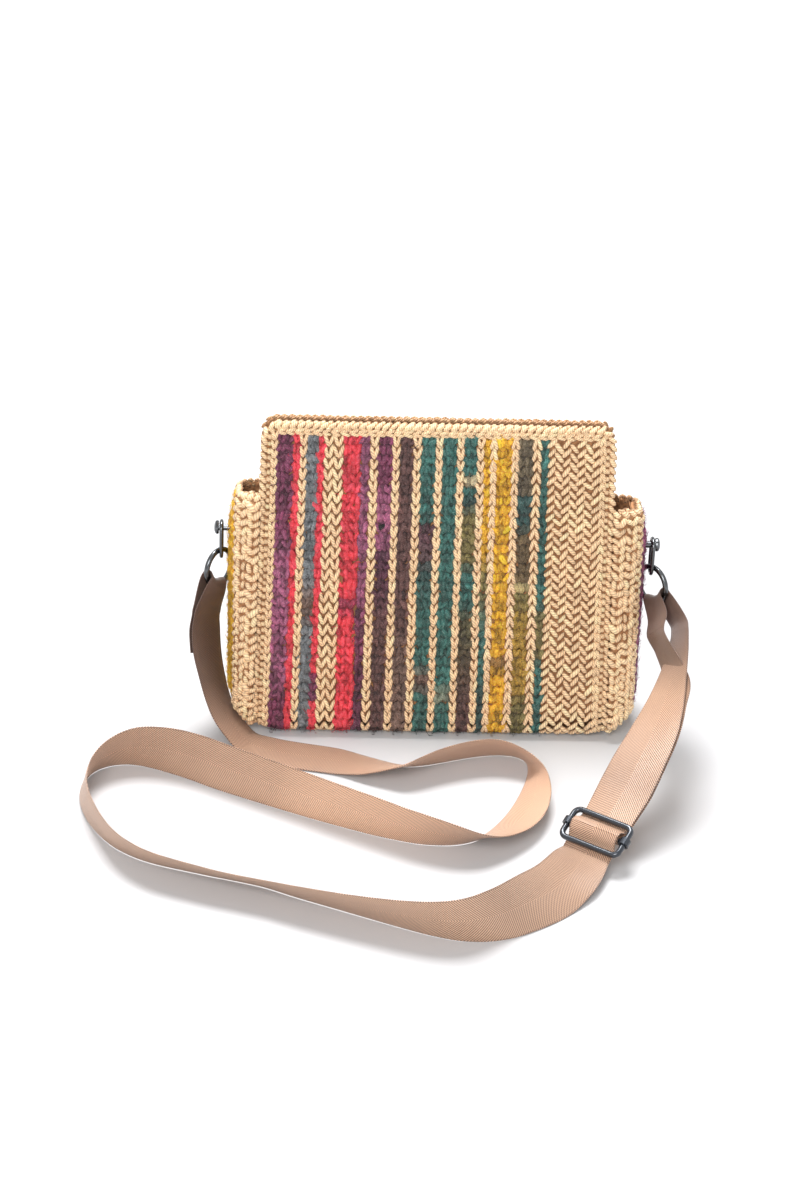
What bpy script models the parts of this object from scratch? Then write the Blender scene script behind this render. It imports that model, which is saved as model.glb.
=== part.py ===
"""Crocheted crossbody handbag with a webbing strap.

A long crocheted wrap makes the front, the bottom and the back in one piece.
Vertical wool rows and cord chains lie on it, two gussets close its sides, and
the strap hangs from a stud, a link and a ring on each gusset. The origin is
the bottom centre of the bag, +X its right, -Y its front, +Z up.
"""
from math import atan, cos, pi, radians, sin, sqrt

import bmesh
import bpy
from mathutils import Matrix, Vector

# Bag body, outside sizes in metres
HEIGHT = 0.190
BASE_DEPTH = 0.070
TOP_DEPTH = 0.018
PANEL_BASE_WIDTH = 0.213
PANEL_TOP_WIDTH = 0.205
PANEL_SHIFT = 0.003
GUSSET_BAND = 0.014
STEP_HEIGHT = {"left": 0.146, "right": 0.140}
FABRIC = 0.003
ROW_RISE = 0.0024
CHAIN_RISE = 0.0030
BOTTOM_ROUND = 0.016
CORNER_REACH = 0.030
CORNER_LIFT = 0.015
LIFT_FADE = 0.060
CLEARANCE = 0.0003

# Edge border and gussets
BORDER_SIDE = 0.009
BORDER_TOP = 0.0105
BORDER_CORNER = 0.0050
BORDER_RISE = 0.0030
WRAP_CORNER = 0.0090
GUSSET_ROUND = 0.009
GUSSET_RIB = 0.0006
GUSSET_FOLD = 0.0014
WOOL_PLATE = 0.0022
WOOL_RIB = 0.0004

# Stitches
STITCH_PITCH = 0.0066
BRAID_PITCH = 0.0062
BRAID_COLUMN = 0.0046
BRAID_SLANT = 0.0030
BRAID_DEPTH = 0.0011

# Hanging hardware
STUD_DROP = 0.0245
POST_RADIUS = 0.0020
POST_FREE = 0.0092
HEAD_RADIUS = 0.0042
HEAD_HEIGHT = 0.0028
RIVET_RADIUS = 0.0034
RIVET_HEIGHT = 0.0012
WASHER_RADIUS = 0.0044
WASHER_THICKNESS = 0.0010
LINK_WIRE = 0.00115
LINK_WIDTH = 0.0128
LINK_LENGTH = 0.0240
LINK_STAND_OFF = 0.0076
RING_WIRE = 0.00165
RING_RADIUS = 0.0112
RING_TURN = radians(52)
RING_SWING = radians(35)
RING_SHIFT = 0.0030

# Strap and its adjuster
STRAP_WIDTH = 0.032
STRAP_THICKNESS = 0.0013
STRAP_AT_BAR = 0.0306
DOUBLED_GAP = 0.0022
FRAME_WIRE = 0.0017
FRAME_LENGTH = 0.0410
FRAME_HEIGHT = 0.0230
FRAME_CORNER = 0.0055
BAR_RADIUS = 0.0014
SLEEVE_WALL = 0.0010
SLEEVE_LENGTH = 0.0040
FOLD_REACH = 0.0012
FOLD_HALF_WIDTH = 0.0080

# Colours, roughness and metallic value of each finish
FINISHES = {
    "cord": ((0.74, 0.47, 0.24), 0.75, 0.0),
    "plum": ((0.16, 0.035, 0.085), 0.95, 0.0),
    "red": ((0.68, 0.03, 0.045), 0.95, 0.0),
    "grey": ((0.15, 0.17, 0.17), 0.95, 0.0),
    "mauve": ((0.26, 0.06, 0.14), 0.95, 0.0),
    "brown": ((0.09, 0.045, 0.045), 0.95, 0.0),
    "teal": ((0.045, 0.15, 0.13), 0.95, 0.0),
    "olive": ((0.16, 0.13, 0.05), 0.95, 0.0),
    "yellow": ((0.72, 0.38, 0.03), 0.95, 0.0),
    "webbing": ((0.60, 0.33, 0.18), 0.5, 0.0),
    "gunmetal": ((0.06, 0.065, 0.07), 0.3, 0.9),
    "black_wire": ((0.015, 0.018, 0.022), 0.25, 0.6),
}

# The rows across the panel from left to right: name, width, finish.
# A cord row names the way its stitches point instead of a finish.
ROWS = (
    ("wool_plum", 0.0102, "plum"),
    ("wool_red_narrow_1", 0.0033, "red"),
    ("chain_1", 0.0045, "down"),
    ("wool_grey", 0.0066, "grey"),
    ("wool_red_narrow_2", 0.0036, "red"),
    ("chain_2", 0.0058, "down"),
    ("chain_3", 0.0059, "down"),
    ("wool_red", 0.0105, "red"),
    ("wool_mauve", 0.0057, "mauve"),
    ("chain_4", 0.0048, "down"),
    ("wool_plum_brown", 0.0087, "mauve"),
    ("chain_5", 0.0042, "down"),
    ("wool_brown", 0.0082, "brown"),
    ("chain_6", 0.0048, "down"),
    ("wool_teal_1", 0.0086, "teal"),
    ("chain_7", 0.0042, "down"),
    ("wool_teal_2", 0.0090, "teal"),
    ("chain_8", 0.0040, "down"),
    ("wool_teal_olive", 0.0080, "olive"),
    ("chain_9", 0.0042, "down"),
    ("wool_yellow_narrow", 0.0039, "yellow"),
    ("chain_10", 0.0036, "up"),
    ("wool_yellow", 0.0090, "yellow"),
    ("chain_11", 0.0044, "up"),
    ("wool_olive", 0.0082, "olive"),
    ("chain_12", 0.0055, "up"),
    ("wool_teal_narrow", 0.0039, "teal"),
)

# The strap's route: centre in mm, then the heading and the climb in degrees of
# the line from its lower or inner edge to its other edge.
STRAP_ROUTE = (
    (-135.6, -8, 71, -118, 22), (-136.6, -12, 60, -121, 20), (-135.6, -17, 47, -122, 22),
    (-132.6, -22, 34, -119, 21), (-129, -28, 23, -116, 18), (-124.5, -34, 14.5, -113, 14),
    (-118, -40, 8, -109, 9), (-110, -46.5, 3.5, -104, 4), (-100, -52, 1.4, -101, 0),
    (-90, -56, 1.2, -99, 0), (-78, -59.5, 1.2, -96, 0), (-57, -65.5, 1.3, -93, 1),
    (-42, -73.5, 3.6, -93, 9), (-29, -79.5, 6.5, -91, 20), (-19, -83, 9, -92, 29),
    (-9, -81, 10.6, -97, 36), (4, -75, 12, -101, 41), (18, -69, 12.8, -100, 44),
    (31, -65.5, 12.9, -98, 45), (41, -65.5, 12.4, -94, 43), (50, -69, 10.8, -87, 37),
    (56.5, -76, 9.4, -80, 31), (58.8, -86, 8.4, -73, 27), (58.3, -99.5, 7.4, -66, 23),
    (55.8, -112.5, 6.6, -61, 20), (51.5, -126.5, 6, -59, 18), (45, -140.5, 6, -62, 18),
    (36.8, -152.4, 6.8, -70, 21), (28, -161.6, 8.6, -79, 27), (18.5, -168.3, 11.2, -87, 38),
    (5.8, -170.3, 14, -88, 50), (-9.8, -167.5, 15.6, -82, 59), (-24.2, -161.6, 16, -74, 63),
    (-38.2, -154.3, 16.2, -64, 66), (-66.3, -138, 16.3, -50, 69), (-93.1, -121.2, 16.4, -36, 71),
    (-123.5, -101.8, 16.5, -26, 74), (-138, -91.8, 16.6, -28, 76), (-151.9, -84, 16.6, -40, 77),
    (-164, -79.3, 16.4, -60, 75), (-174.4, -77.6, 16, -80, 71), (-183.5, -79.6, 15.2, -90, 63),
    (-191.9, -85, 13.8, -92, 53), (-198, -93, 12.4, -89, 44), (-201.3, -104.5, 11.4, -83, 38),
    (-201.8, -118.7, 11, -76, 36), (-198.9, -135, 11, -71, 35), (-193, -153, 11.2, -70, 36),
    (-184.8, -170, 11.5, -73, 38), (-174.6, -183.6, 11.6, -76, 39), (-158.8, -196, 11.5, -81, 39),
    (-129.7, -208.5, 11, -86, 37), (-115.5, -213.6, 10.8, -87, 36), (-97.3, -220.6, 11, -87, 37),
    (-79.3, -230, 11.8, -86, 41), (-53.2, -242.4, 13, -85, 47), (-27, -254.2, 14.6, -86, 56),
    (-7, -261.4, 16, -92, 66), (9.1, -262.8, 16.8, -112, 76), (26, -256.4, 16.8, 176, 74),
    (42.2, -242, 15.6, 152, 59), (57.6, -222.8, 12.8, 141, 40), (70.4, -201.6, 10.6, 138, 20),
)
# The same for the stretch from the adjuster up to the right ring, and for the
# way back beneath it, where a last number gives a width in mm below the full one.
STRAP_RISE = (
    (102.5, -146.4, 31.5, 144, 0), (111, -132.5, 41.5, 146, -6), (119.8, -116.9, 50.6, 142, -14),
    (128, -98, 59.5, 127, -21), (134.5, -77, 67, 114, -26), (139.8, -55, 72.6, 106, -29),
    (143, -36, 76, 104, -31, 29), (143.2, -22, 76.5, 112, -34, 23),
)
STRAP_RETURN = (
    (131.5, -20, 77.5, 124, -38, 20), (129, -32, 72.5, 118, -36, 25), (128.4, -46, 68.5, 116, -34, 29),
    (127.8, -62, 64.5, 116, -31), (125.4, -80, 59.5, 119, -27), (121.5, -98, 53.5, 126, -21),
    (115.2, -116, 45.5, 140, -14), (107.4, -131, 36.5, 145, -6), (99.5, -145, 27, 142, 0),
)
ADJUSTER_CENTRE = Vector((0.0846, -0.1712, 0.0168))
ADJUSTER_ALONG = Vector((0.50, 0.70, 0.46)).normalized()
ADJUSTER_ACROSS = Vector((0.76, -0.65, 0.02)).normalized()

LEAN = atan((BASE_DEPTH - TOP_DEPTH) / 2 / HEIGHT)
HALF_WIDTH = PANEL_BASE_WIDTH / 2 + GUSSET_BAND
PANEL_HALF = PANEL_BASE_WIDTH / 2
SIDES = {"left": -1, "right": 1}


def clear_scene():
    for obj in list(bpy.data.objects):
        bpy.data.objects.remove(obj)


def new_collection(name, hidden=False):
    found = bpy.data.collections.new(name)
    bpy.context.scene.collection.children.link(found)
    found.hide_render = hidden
    return found


def new_material(name, finish):
    colour, roughness, metallic = FINISHES[finish]
    material = bpy.data.materials.new(name)
    material.use_nodes = True
    shader = material.node_tree.nodes["Principled BSDF"]
    shader.inputs["Base Color"].default_value = (*colour, 1)
    shader.inputs["Roughness"].default_value = roughness
    shader.inputs["Metallic"].default_value = metallic
    return material


def add_object(name, data, finish, smooth=False):
    """Links the data as a named piece of the bag with a material of its own."""
    obj = bpy.data.objects.new(name, data)
    BAG.objects.link(obj)
    data.materials.clear()
    data.materials.append(new_material(name, finish))
    if smooth and obj.type == "MESH":
        data.shade_smooth()
        data.set_sharp_from_angle(angle=radians(40))
    return obj


def loft(name, rings, finish, smooth=False):
    """A closed solid through rings of equal length, capped at both ends."""
    mesh = bmesh.new()
    verts = [[mesh.verts.new(point) for point in ring] for ring in rings]
    count = len(rings[0])
    for near, far in zip(verts, verts[1:]):
        for i in range(count):
            j = (i + 1) % count
            mesh.faces.new((near[i], near[j], far[j], far[i]))
    mesh.faces.new(verts[0][::-1])
    mesh.faces.new(verts[-1])
    return closed_piece(name, mesh, finish, smooth)


def closed_piece(name, mesh, finish, smooth=False):
    bmesh.ops.recalc_face_normals(mesh, faces=mesh.faces)
    if mesh.calc_volume(signed=True) < 0:
        bmesh.ops.reverse_faces(mesh, faces=mesh.faces)
    data = bpy.data.meshes.new(name)
    mesh.to_mesh(data)
    mesh.free()
    return add_object(name, data, finish, smooth)


def sheet(name, grid, thickness, finish, smooth=True):
    """An open surface through a grid of points, thickened away from its outside."""
    mesh = bmesh.new()
    verts = [[mesh.verts.new(point) for point in line] for line in grid]
    for near, far in zip(verts, verts[1:]):
        for i in range(len(near) - 1):
            mesh.faces.new((near[i], near[i + 1], far[i + 1], far[i]))
    data = bpy.data.meshes.new(name)
    mesh.to_mesh(data)
    mesh.free()
    obj = add_object(name, data, finish, smooth)
    solidify = obj.modifiers.new("Thickness", "SOLIDIFY")
    solidify.thickness = thickness
    solidify.offset = -1
    solidify.use_even_offset = True
    return obj


def shell(name, outer, inner, faces, finish):
    """A closed wall between two surfaces with the same faces, given as lists of points."""
    mesh = bmesh.new()
    outside = [mesh.verts.new(point) for point in outer]
    inside = [mesh.verts.new(point) for point in inner]
    used = {}
    for face in faces:
        mesh.faces.new([outside[i] for i in face])
        mesh.faces.new([inside[i] for i in reversed(face)])
        for i, j in zip(face, face[1:] + face[:1]):
            used.setdefault(frozenset((i, j)), []).append((i, j))
    for uses in used.values():
        if len(uses) == 1:
            i, j = uses[0]
            mesh.faces.new((outside[j], outside[i], inside[i], inside[j]))
    return closed_piece(name, mesh, finish)


def grid_faces(lines, columns):
    return [
        (i * columns + j, i * columns + j + 1, (i + 1) * columns + j + 1, (i + 1) * columns + j)
        for i in range(lines - 1)
        for j in range(columns - 1)
    ]


def wire(name, points, radius, finish, closed=False):
    """A round wire through the points, as a poly curve with a bevel."""
    curve = bpy.data.curves.new(name, "CURVE")
    curve.dimensions = "3D"
    curve.bevel_depth = radius
    curve.bevel_resolution = 2
    curve.use_fill_caps = not closed
    spline = curve.splines.new("POLY")
    spline.points.add(len(points) - 1)
    for spot, point in zip(spline.points, points):
        spot.co = (*point, 1)
    spline.use_cyclic_u = closed
    return add_object(name, curve, finish)


def turned(name, profile, steps, finish):
    """A profile of (radius, height) turned about its own Z axis, from top to bottom."""
    data = bpy.data.meshes.new(name)
    points = [(radius, 0, height) for radius, height in profile]
    data.from_pydata(points, [(i, i + 1) for i in range(len(points) - 1)], [])
    obj = add_object(name, data, finish)
    screw = obj.modifiers.new("Turn", "SCREW")
    screw.steps = screw.render_steps = steps
    screw.use_merge_vertices = True
    screw.merge_threshold = 0.00001
    screw.use_smooth_shade = True
    return obj


def round_bar(name, centre, radius, length, axis, sides):
    """A cylinder along an axis, in no collection yet."""
    bpy.ops.mesh.primitive_cylinder_add(vertices=sides, radius=radius, depth=length)
    bar = bpy.context.object
    bar.name = name
    bar.matrix_world = Matrix.Translation(centre) @ axis.to_track_quat("Z", "Y").to_matrix().to_4x4()
    for found in list(bar.users_collection):
        found.objects.unlink(bar)
    return bar


def keep_as_cutter(obj):
    CUTTERS.objects.link(obj)
    obj.hide_render = True
    obj.display_type = "WIRE"


def cut_round(obj, centre, radius, length, axis):
    """Drills a round hole through the piece."""
    cutter = round_bar(obj.name + "_hole", centre, radius, length, axis, 20)
    keep_as_cutter(cutter)
    boolean = obj.modifiers.new("Hole", "BOOLEAN")
    boolean.operation = "DIFFERENCE"
    boolean.object = cutter


def corner_rise(x):
    """How far the bag's underside has risen at a distance from its middle."""
    past = max(0.0, abs(x) - (HALF_WIDTH - CORNER_REACH)) / CORNER_REACH
    return CORNER_LIFT * past**2


def lifted(x, y, z):
    """Rounds the bag's lower corners by raising what is near the floor there."""
    return Vector((x, y, z + corner_rise(x) * max(0.0, 1 - z / LIFT_FADE) ** 2))


def panel_scale(z):
    return 1 - (1 - PANEL_TOP_WIDTH / PANEL_BASE_WIDTH) * z / HEIGHT


class Wall:
    """The front half of the bag's section, from the top edge down to the bottom middle."""

    def __init__(self, inset, top=HEIGHT):
        self.radius = BOTTOM_ROUND - inset
        self.centre_y = -BASE_DEPTH / 2 + BOTTOM_ROUND * (1 + sin(LEAN)) / cos(LEAN)
        self.normal = Vector((0, -cos(LEAN), sin(LEAN)))
        foot = Vector((0, self.centre_y, BOTTOM_ROUND)) + self.normal * self.radius
        self.foot = foot
        self.straight = (top - foot.z) / cos(LEAN)
        self.turn = pi / 2 + LEAN
        self.arc = self.radius * self.turn
        self.length = self.straight + self.arc - self.centre_y

    def at(self, distance, out=0.0):
        """The (y, z) at a distance below the top edge, moved outwards."""
        if distance <= self.straight:
            climb = self.straight - distance
            point = self.foot + Vector((0, sin(LEAN), cos(LEAN))) * climb + self.normal * out
            return point.y, point.z
        if distance <= self.straight + self.arc:
            angle = pi - LEAN + (distance - self.straight) / self.radius
            reach = self.radius + out
            return self.centre_y + reach * cos(angle), BOTTOM_ROUND + reach * sin(angle)
        along = self.centre_y + distance - self.straight - self.arc
        return along, BOTTOM_ROUND - self.radius - out

    def stops(self, start, arc_steps=5):
        """Distances from a start to the bottom middle, closer together round the bend."""
        bend = [self.straight + self.arc * i / arc_steps for i in range(arc_steps + 1)]
        return [start] + bend


ROW_WALL = Wall(max(ROW_RISE, CHAIN_RISE, BORDER_RISE))


def on_wrap(x, distance, out, back=False):
    """A point on the wrap: across from the panel's middle, down from its top, and out."""
    y, z = ROW_WALL.at(distance, out)
    return lifted(PANEL_SHIFT + x * panel_scale(z), -y if back else y, z)


def round_the_bag(start):
    """(distance, back) from a start on the front, under the bottom, to it on the back."""
    down = ROW_WALL.stops(start)
    return [(d, False) for d in down] + [(d, True) for d in reversed(down)]


def corner_inset(distance):
    """How far the rounded top corners draw the panel's edge in."""
    past = max(0.0, WRAP_CORNER - distance)
    return WRAP_CORNER - sqrt(WRAP_CORNER**2 - past**2)


def make_wrap():
    columns = [-1, -0.94, -0.88, -0.8, -0.7, 0, 0.7, 0.8, 0.88, 0.94, 1]
    edge = [(WRAP_CORNER * i, False) for i in (0, 0.15, 0.5)]
    route = edge + round_the_bag(WRAP_CORNER) + [(distance, True) for distance, _ in reversed(edge)]
    grid = [
        [on_wrap((PANEL_HALF - corner_inset(distance)) * u, distance, 0, back) for u in columns]
        for distance, back in reversed(route)
    ]
    return sheet("wrap_fabric", grid, FABRIC, "cord", smooth=False)


def wool_row(name, middle, width, finish):
    """A raised wool row with a rounded back, all round the wrap."""
    half = width / 2 - CLEARANCE / 2
    shape = ((-1, CLEARANCE), (-0.72, ROW_RISE), (0.72, ROW_RISE), (1, CLEARANCE))
    rings = [
        [on_wrap(middle + half * u, distance, out, back) for u, out in shape]
        for distance, back in round_the_bag(BORDER_TOP + CLEARANCE)
    ]
    return loft(name, rings, finish)


def chain_row(name, middle, width, points_down):
    """A cord chain whose stitches stand up one by one on the front, plain elsewhere."""
    half = width / 2 - CLEARANCE / 2
    start = BORDER_TOP + CLEARANCE
    stitches = int((ROW_WALL.straight - start) / STITCH_PITCH)
    pitch = (ROW_WALL.straight - start) / stitches
    crest = 0.75 if points_down else 0.25
    mesh = bmesh.new()

    def vert(u, distance, out, back=False):
        return mesh.verts.new(on_wrap(middle + half * u, distance, out, back))

    def plain_section(distance, back):
        return (
            vert(-1, distance, CLEARANCE, back),
            vert(0, distance, CHAIN_RISE, back),
            vert(1, distance, CLEARANCE, back),
        )

    low = CHAIN_RISE * 0.45
    sections = [(vert(-1, start, CLEARANCE), vert(0, start, low), vert(1, start, CLEARANCE))]
    for i in range(stitches):
        near = sections[-1]
        top = vert(0, start + (i + crest) * pitch, CHAIN_RISE)
        end = start + (i + 1) * pitch
        far = (vert(-1, end, CLEARANCE), vert(0, end, low), vert(1, end, CLEARANCE))
        for side in (0, 2):
            mesh.faces.new((near[side], near[1], top))
            mesh.faces.new((near[side], top, far[side]))
            mesh.faces.new((far[side], top, far[1]))
        mesh.faces.new((near[0], far[0], far[2], near[2]))
        sections.append(far)
    round_stops = ROW_WALL.stops(start)[2:]
    route = [(d, False) for d in round_stops] + [(d, True) for d in reversed(ROW_WALL.stops(start))]
    for distance, back in route:
        near, far = sections[-1], plain_section(distance, back)
        for i, j in ((0, 1), (1, 2), (2, 0)):
            mesh.faces.new((near[i], near[j], far[j], far[i]))
        sections.append(far)
    mesh.faces.new(sections[0])
    mesh.faces.new(sections[-1])
    return closed_piece(name, mesh, "cord")


def braid_panel(name, left, right):
    """The basket-stitched field: slanted stitches that turn about from column to column."""
    start = BORDER_TOP + CLEARANCE
    columns = round((right - left - CLEARANCE) / BRAID_COLUMN)
    step = (right - left - CLEARANCE) / columns
    rows = int((ROW_WALL.straight - start) / BRAID_PITCH)
    pitch = (ROW_WALL.straight - start - BRAID_SLANT) / rows
    xs = [left + CLEARANCE / 2 + j * step for j in range(columns + 1)]
    lines = []
    for i in range(2 * rows + 1):
        high = ROW_RISE if i % 2 else ROW_RISE - BRAID_DEPTH
        slants = [BRAID_SLANT * (j % 2) if i else 0 for j in range(columns + 1)]
        lines.append([(x, start + i * pitch / 2 + slant, high, False) for x, slant in zip(xs, slants)])
    for distance in ROW_WALL.stops(start)[1:]:
        lines.append([(x, distance, CHAIN_RISE, False) for x in xs])
    for distance in reversed(ROW_WALL.stops(start)):
        lines.append([(x, distance, CHAIN_RISE, True) for x in xs])
    outer = [on_wrap(*spot) for line in lines for spot in line]
    inner = [on_wrap(x, distance, CLEARANCE, back) for line in lines for x, distance, _, back in line]
    return shell(name, outer, inner, grid_faces(len(lines), columns + 1), "cord")


def border(name, back):
    """The edging up both sides and across the top of one panel, of two chains with a groove."""
    inset = BORDER_SIDE / 2
    edge = PANEL_HALF - inset
    stop = ROW_WALL.length - CLEARANCE / 2
    bends = [d for d in reversed(ROW_WALL.stops(0)) if d > 0]
    first = [(-edge, stop)] + [(-edge, d) for d in bends]
    turn = [
        (-edge + BORDER_CORNER * (1 - cos(a)), BORDER_TOP / 2 + BORDER_CORNER * (1 - sin(a)))
        for a in (radians(22.5 * i) for i in range(5))
    ]
    half = first + turn
    route = half + [(-x, d) for x, d in reversed(half)]
    shape = ((-0.5, 0), (-0.5, 0.7), (-0.3, 1.0), (-0.06, 0.45), (0.16, 0.9), (0.4, 0.75), (0.5, 0))
    rings = []
    for i, (x, distance) in enumerate(route):
        before, after = route[max(i - 1, 0)], route[min(i + 1, len(route) - 1)]
        run = Vector((after[0] - before[0], after[1] - before[1])).normalized()
        across = Vector((-run.y, run.x))
        width = BORDER_SIDE + (BORDER_TOP - BORDER_SIDE) * abs(run.x)
        ring = []
        for u, high in shape:
            spot = Vector((x, distance)) + across * (u * (width - CLEARANCE))
            out = CLEARANCE + high * (BORDER_RISE - CLEARANCE)
            ring.append(on_wrap(spot.x, max(spot.y, 0), out, back))
        rings.append(ring)
    return loft(name, rings, "cord")


def gusset_ring(side, inset, spread, top, flats, sunk=0.0):
    """One U-shaped line of a gusset, from its front top round the bottom to its back top."""
    wall = Wall(inset, top)
    stops = [0, wall.straight * 0.5] + wall.stops(0)[1:]
    down = [wall.at(d) for d in stops]
    edge_y = down[-1][0]
    floor = [(edge_y * (1 - 2 * i / flats), down[-1][1]) for i in range(1, flats)]
    points = down + floor + [(-y, z) for y, z in reversed(down)]
    ring = []
    for y, z in points:
        end = PANEL_SHIFT * side + PANEL_HALF * panel_scale(z) + CLEARANCE
        x = end + (HALF_WIDTH - end) * spread - sunk
        ring.append(lifted(side * x, y, z))
    return ring


def across_gusset(ring, flats, ribs, side):
    """Rungs from the front to the back of a U-shaped ring, down to its flat bottom."""
    count = (len(ring) - flats + 1) // 2
    rungs = []
    for i in range(count):
        front, rear = ring[i], ring[-1 - i]
        rib = Vector((side * ribs, 0, 0))
        rungs.append([front.lerp(rear, k / flats) + rib * (k % 2) for k in range(flats + 1)])
    return rungs


def gusset_surface(side, top, flats, inside):
    """The points of a gusset's outer or inner face: its corner rings, then its sunk middle."""
    rings = []
    for i, turn in enumerate(radians(a) for a in (0, 18, 36, 54, 72, 90)):
        rib = GUSSET_RIB if i in (2, 4) else 0
        inset, sunk = GUSSET_ROUND * (1 - cos(turn)) + rib, 0
        if inside:
            inset += FABRIC * cos(turn) if i < 5 else -GUSSET_FOLD
            sunk = FABRIC * sin(turn)
        rings.append(gusset_ring(side, inset, sin(turn), top, flats, sunk))
    inset = GUSSET_ROUND + GUSSET_RIB - (GUSSET_FOLD if inside else 0)
    sunk = WOOL_PLATE + CLEARANCE + (FABRIC if inside else 0)
    rings.append(gusset_ring(side, inset, 1, top, flats, sunk))
    points = [point for ring in rings for point in ring]
    count = len(rings[0])
    faces = grid_faces(len(rings), count)
    rungs = across_gusset(rings[-1], flats, 0, side)
    last = (len(rings) - 1) * count
    grid = []
    for i, rung in enumerate(rungs[:-1]):
        middle = [len(points) + k for k in range(flats - 1)]
        points += rung[1:-1]
        grid.append([last + i, *middle, last + count - 1 - i])
    grid.append([last + len(rungs) - 1 + k for k in range(flats + 1)])
    for near, far in zip(grid, grid[1:]):
        faces += [(near[i], near[i + 1], far[i + 1], far[i]) for i in range(flats)]
    return points, faces


def make_gusset(label):
    """A beige side wall that turns the corner in ribs and sinks in for its wool middle."""
    shape = SIDES[label], STEP_HEIGHT[label], 4
    outer, faces = gusset_surface(*shape, inside=False)
    inner, _ = gusset_surface(*shape, inside=True)
    return shell("gusset_" + label, outer, inner, faces, "cord")


def make_gusset_wool(label, finish):
    """The wool middle of a gusset, a ribbed plate that fills the sunk part."""
    side, flats = SIDES[label], 6
    inset = GUSSET_ROUND + GUSSET_RIB + 2 * CLEARANCE
    ring = gusset_ring(side, inset, 1, STEP_HEIGHT[label] - CLEARANCE, flats)
    rungs = across_gusset(ring, flats, WOOL_RIB, side)
    order = rungs if side > 0 else [rung[::-1] for rung in rungs]
    return sheet("gusset_wool_" + label, order[::-1], WOOL_PLATE - CLEARANCE, finish, smooth=False)


def stud_place(label):
    side = SIDES[label]
    return Vector((side * HALF_WIDTH, 0, STEP_HEIGHT[label] - STUD_DROP))


def make_stud(label, gusset, wool):
    """A riveted stud through the gusset, with its washer inside and its head outside."""
    side = SIDES[label]
    outward = Vector((side, 0, 0))
    face = stud_place(label)
    inner = WOOL_PLATE + 2 * CLEARANCE + FABRIC
    back = inner + WASHER_THICKNESS + CLEARANCE
    tip = POST_FREE + HEAD_HEIGHT
    profile = (
        (0, tip), (HEAD_RADIUS * 0.55, tip - HEAD_HEIGHT * 0.06), (HEAD_RADIUS * 0.9, tip - HEAD_HEIGHT * 0.3),
        (HEAD_RADIUS, tip - HEAD_HEIGHT * 0.6), (HEAD_RADIUS * 0.92, POST_FREE), (POST_RADIUS, POST_FREE),
        (POST_RADIUS, -back), (RIVET_RADIUS, -back),
        (RIVET_RADIUS * 0.8, -back - RIVET_HEIGHT), (0, -back - RIVET_HEIGHT),
    )
    turn = outward.to_track_quat("Z", "Y").to_matrix().to_4x4()
    stud = turned("stud_" + label, profile, 20, "gunmetal")
    stud.matrix_world = Matrix.Translation(face) @ turn
    hole = POST_RADIUS + CLEARANCE
    ring = ((hole, 0), (hole, -WASHER_THICKNESS), (WASHER_RADIUS, -WASHER_THICKNESS), (WASHER_RADIUS, 0))
    washer = turned("backing_washer_" + label, ring[::-1] + ring[-1:], 20, "gunmetal")
    washer.matrix_world = Matrix.Translation(face - outward * (inner + CLEARANCE / 2)) @ turn
    for piece in (gusset, wool):
        cut_round(piece, face, hole, 4 * inner, outward)


def oblong(width, length, corner, steps=4):
    """Points round an upright oblong with rounded corners, in (across, up)."""
    points = []
    for cx, cz, first in ((1, 1, 0), (-1, 1, 90), (-1, -1, 180), (1, -1, 270)):
        for i in range(steps + 1):
            a = radians(first + 90 * i / steps)
            points.append((
                cx * (width / 2 - corner) + corner * cos(a),
                cz * (length / 2 - corner) + corner * sin(a),
            ))
    return points


def link_middle(label):
    """The centre of the link, whose upper bend rests on the stud's post."""
    face = stud_place(label)
    drop = (LINK_LENGTH - 2 * LINK_WIRE) / 2 - POST_RADIUS - CLEARANCE - LINK_WIRE
    return face + Vector((SIDES[label] * LINK_STAND_OFF, 0, -drop))


def make_link(label):
    middle = link_middle(label)
    width = LINK_WIDTH - 2 * LINK_WIRE
    length = LINK_LENGTH - 2 * LINK_WIRE
    outline = oblong(width, length, width / 2 - 0.0004)
    points = [(middle.x, middle.y + u, middle.z + v) for u, v in outline]
    return wire("link_" + label, points, LINK_WIRE, "gunmetal", closed=True)


def ring_frame(label):
    """The ring's middle, the way it hangs, its outer normal and its tangent at the strap."""
    side = SIDES[label]
    middle = link_middle(label)
    low = (LINK_LENGTH - 2 * LINK_WIRE) / 2
    level = Vector((side * cos(RING_TURN), -sin(RING_TURN), 0))
    hang = level * sin(RING_SWING) - Vector((0, 0, cos(RING_SWING)))
    outward = Vector((side * sin(RING_TURN), cos(RING_TURN), 0))
    along = level * cos(RING_SWING) + Vector((0, 0, sin(RING_SWING)))
    away = Vector((-along.z * side, 0, abs(along.x))).normalized()
    reach = LINK_WIRE + 2 * CLEARANCE + RING_WIRE
    crossing = middle + Vector((0, RING_SHIFT, -low)) + away * reach
    return crossing + hang * RING_RADIUS, hang, outward, along


def make_ring(label):
    middle, _, outward, _ = ring_frame(label)
    bpy.ops.mesh.primitive_torus_add(
        major_radius=RING_RADIUS, minor_radius=RING_WIRE, major_segments=28, minor_segments=10
    )
    ring = bpy.context.object
    ring.name = "ring_" + label
    ring.data.materials.append(new_material(ring.name, "gunmetal"))
    for found in list(ring.users_collection):
        found.objects.unlink(ring)
    BAG.objects.link(ring)
    ring.data.shade_smooth()
    ring.matrix_world = Matrix.Translation(middle) @ outward.to_track_quat("Z", "Y").to_matrix().to_4x4()
    return ring


def adjuster_point(along, across, up):
    normal = ADJUSTER_ACROSS.cross(ADJUSTER_ALONG).normalized()
    return ADJUSTER_CENTRE + ADJUSTER_ALONG * along + ADJUSTER_ACROSS * across + normal * up


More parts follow.
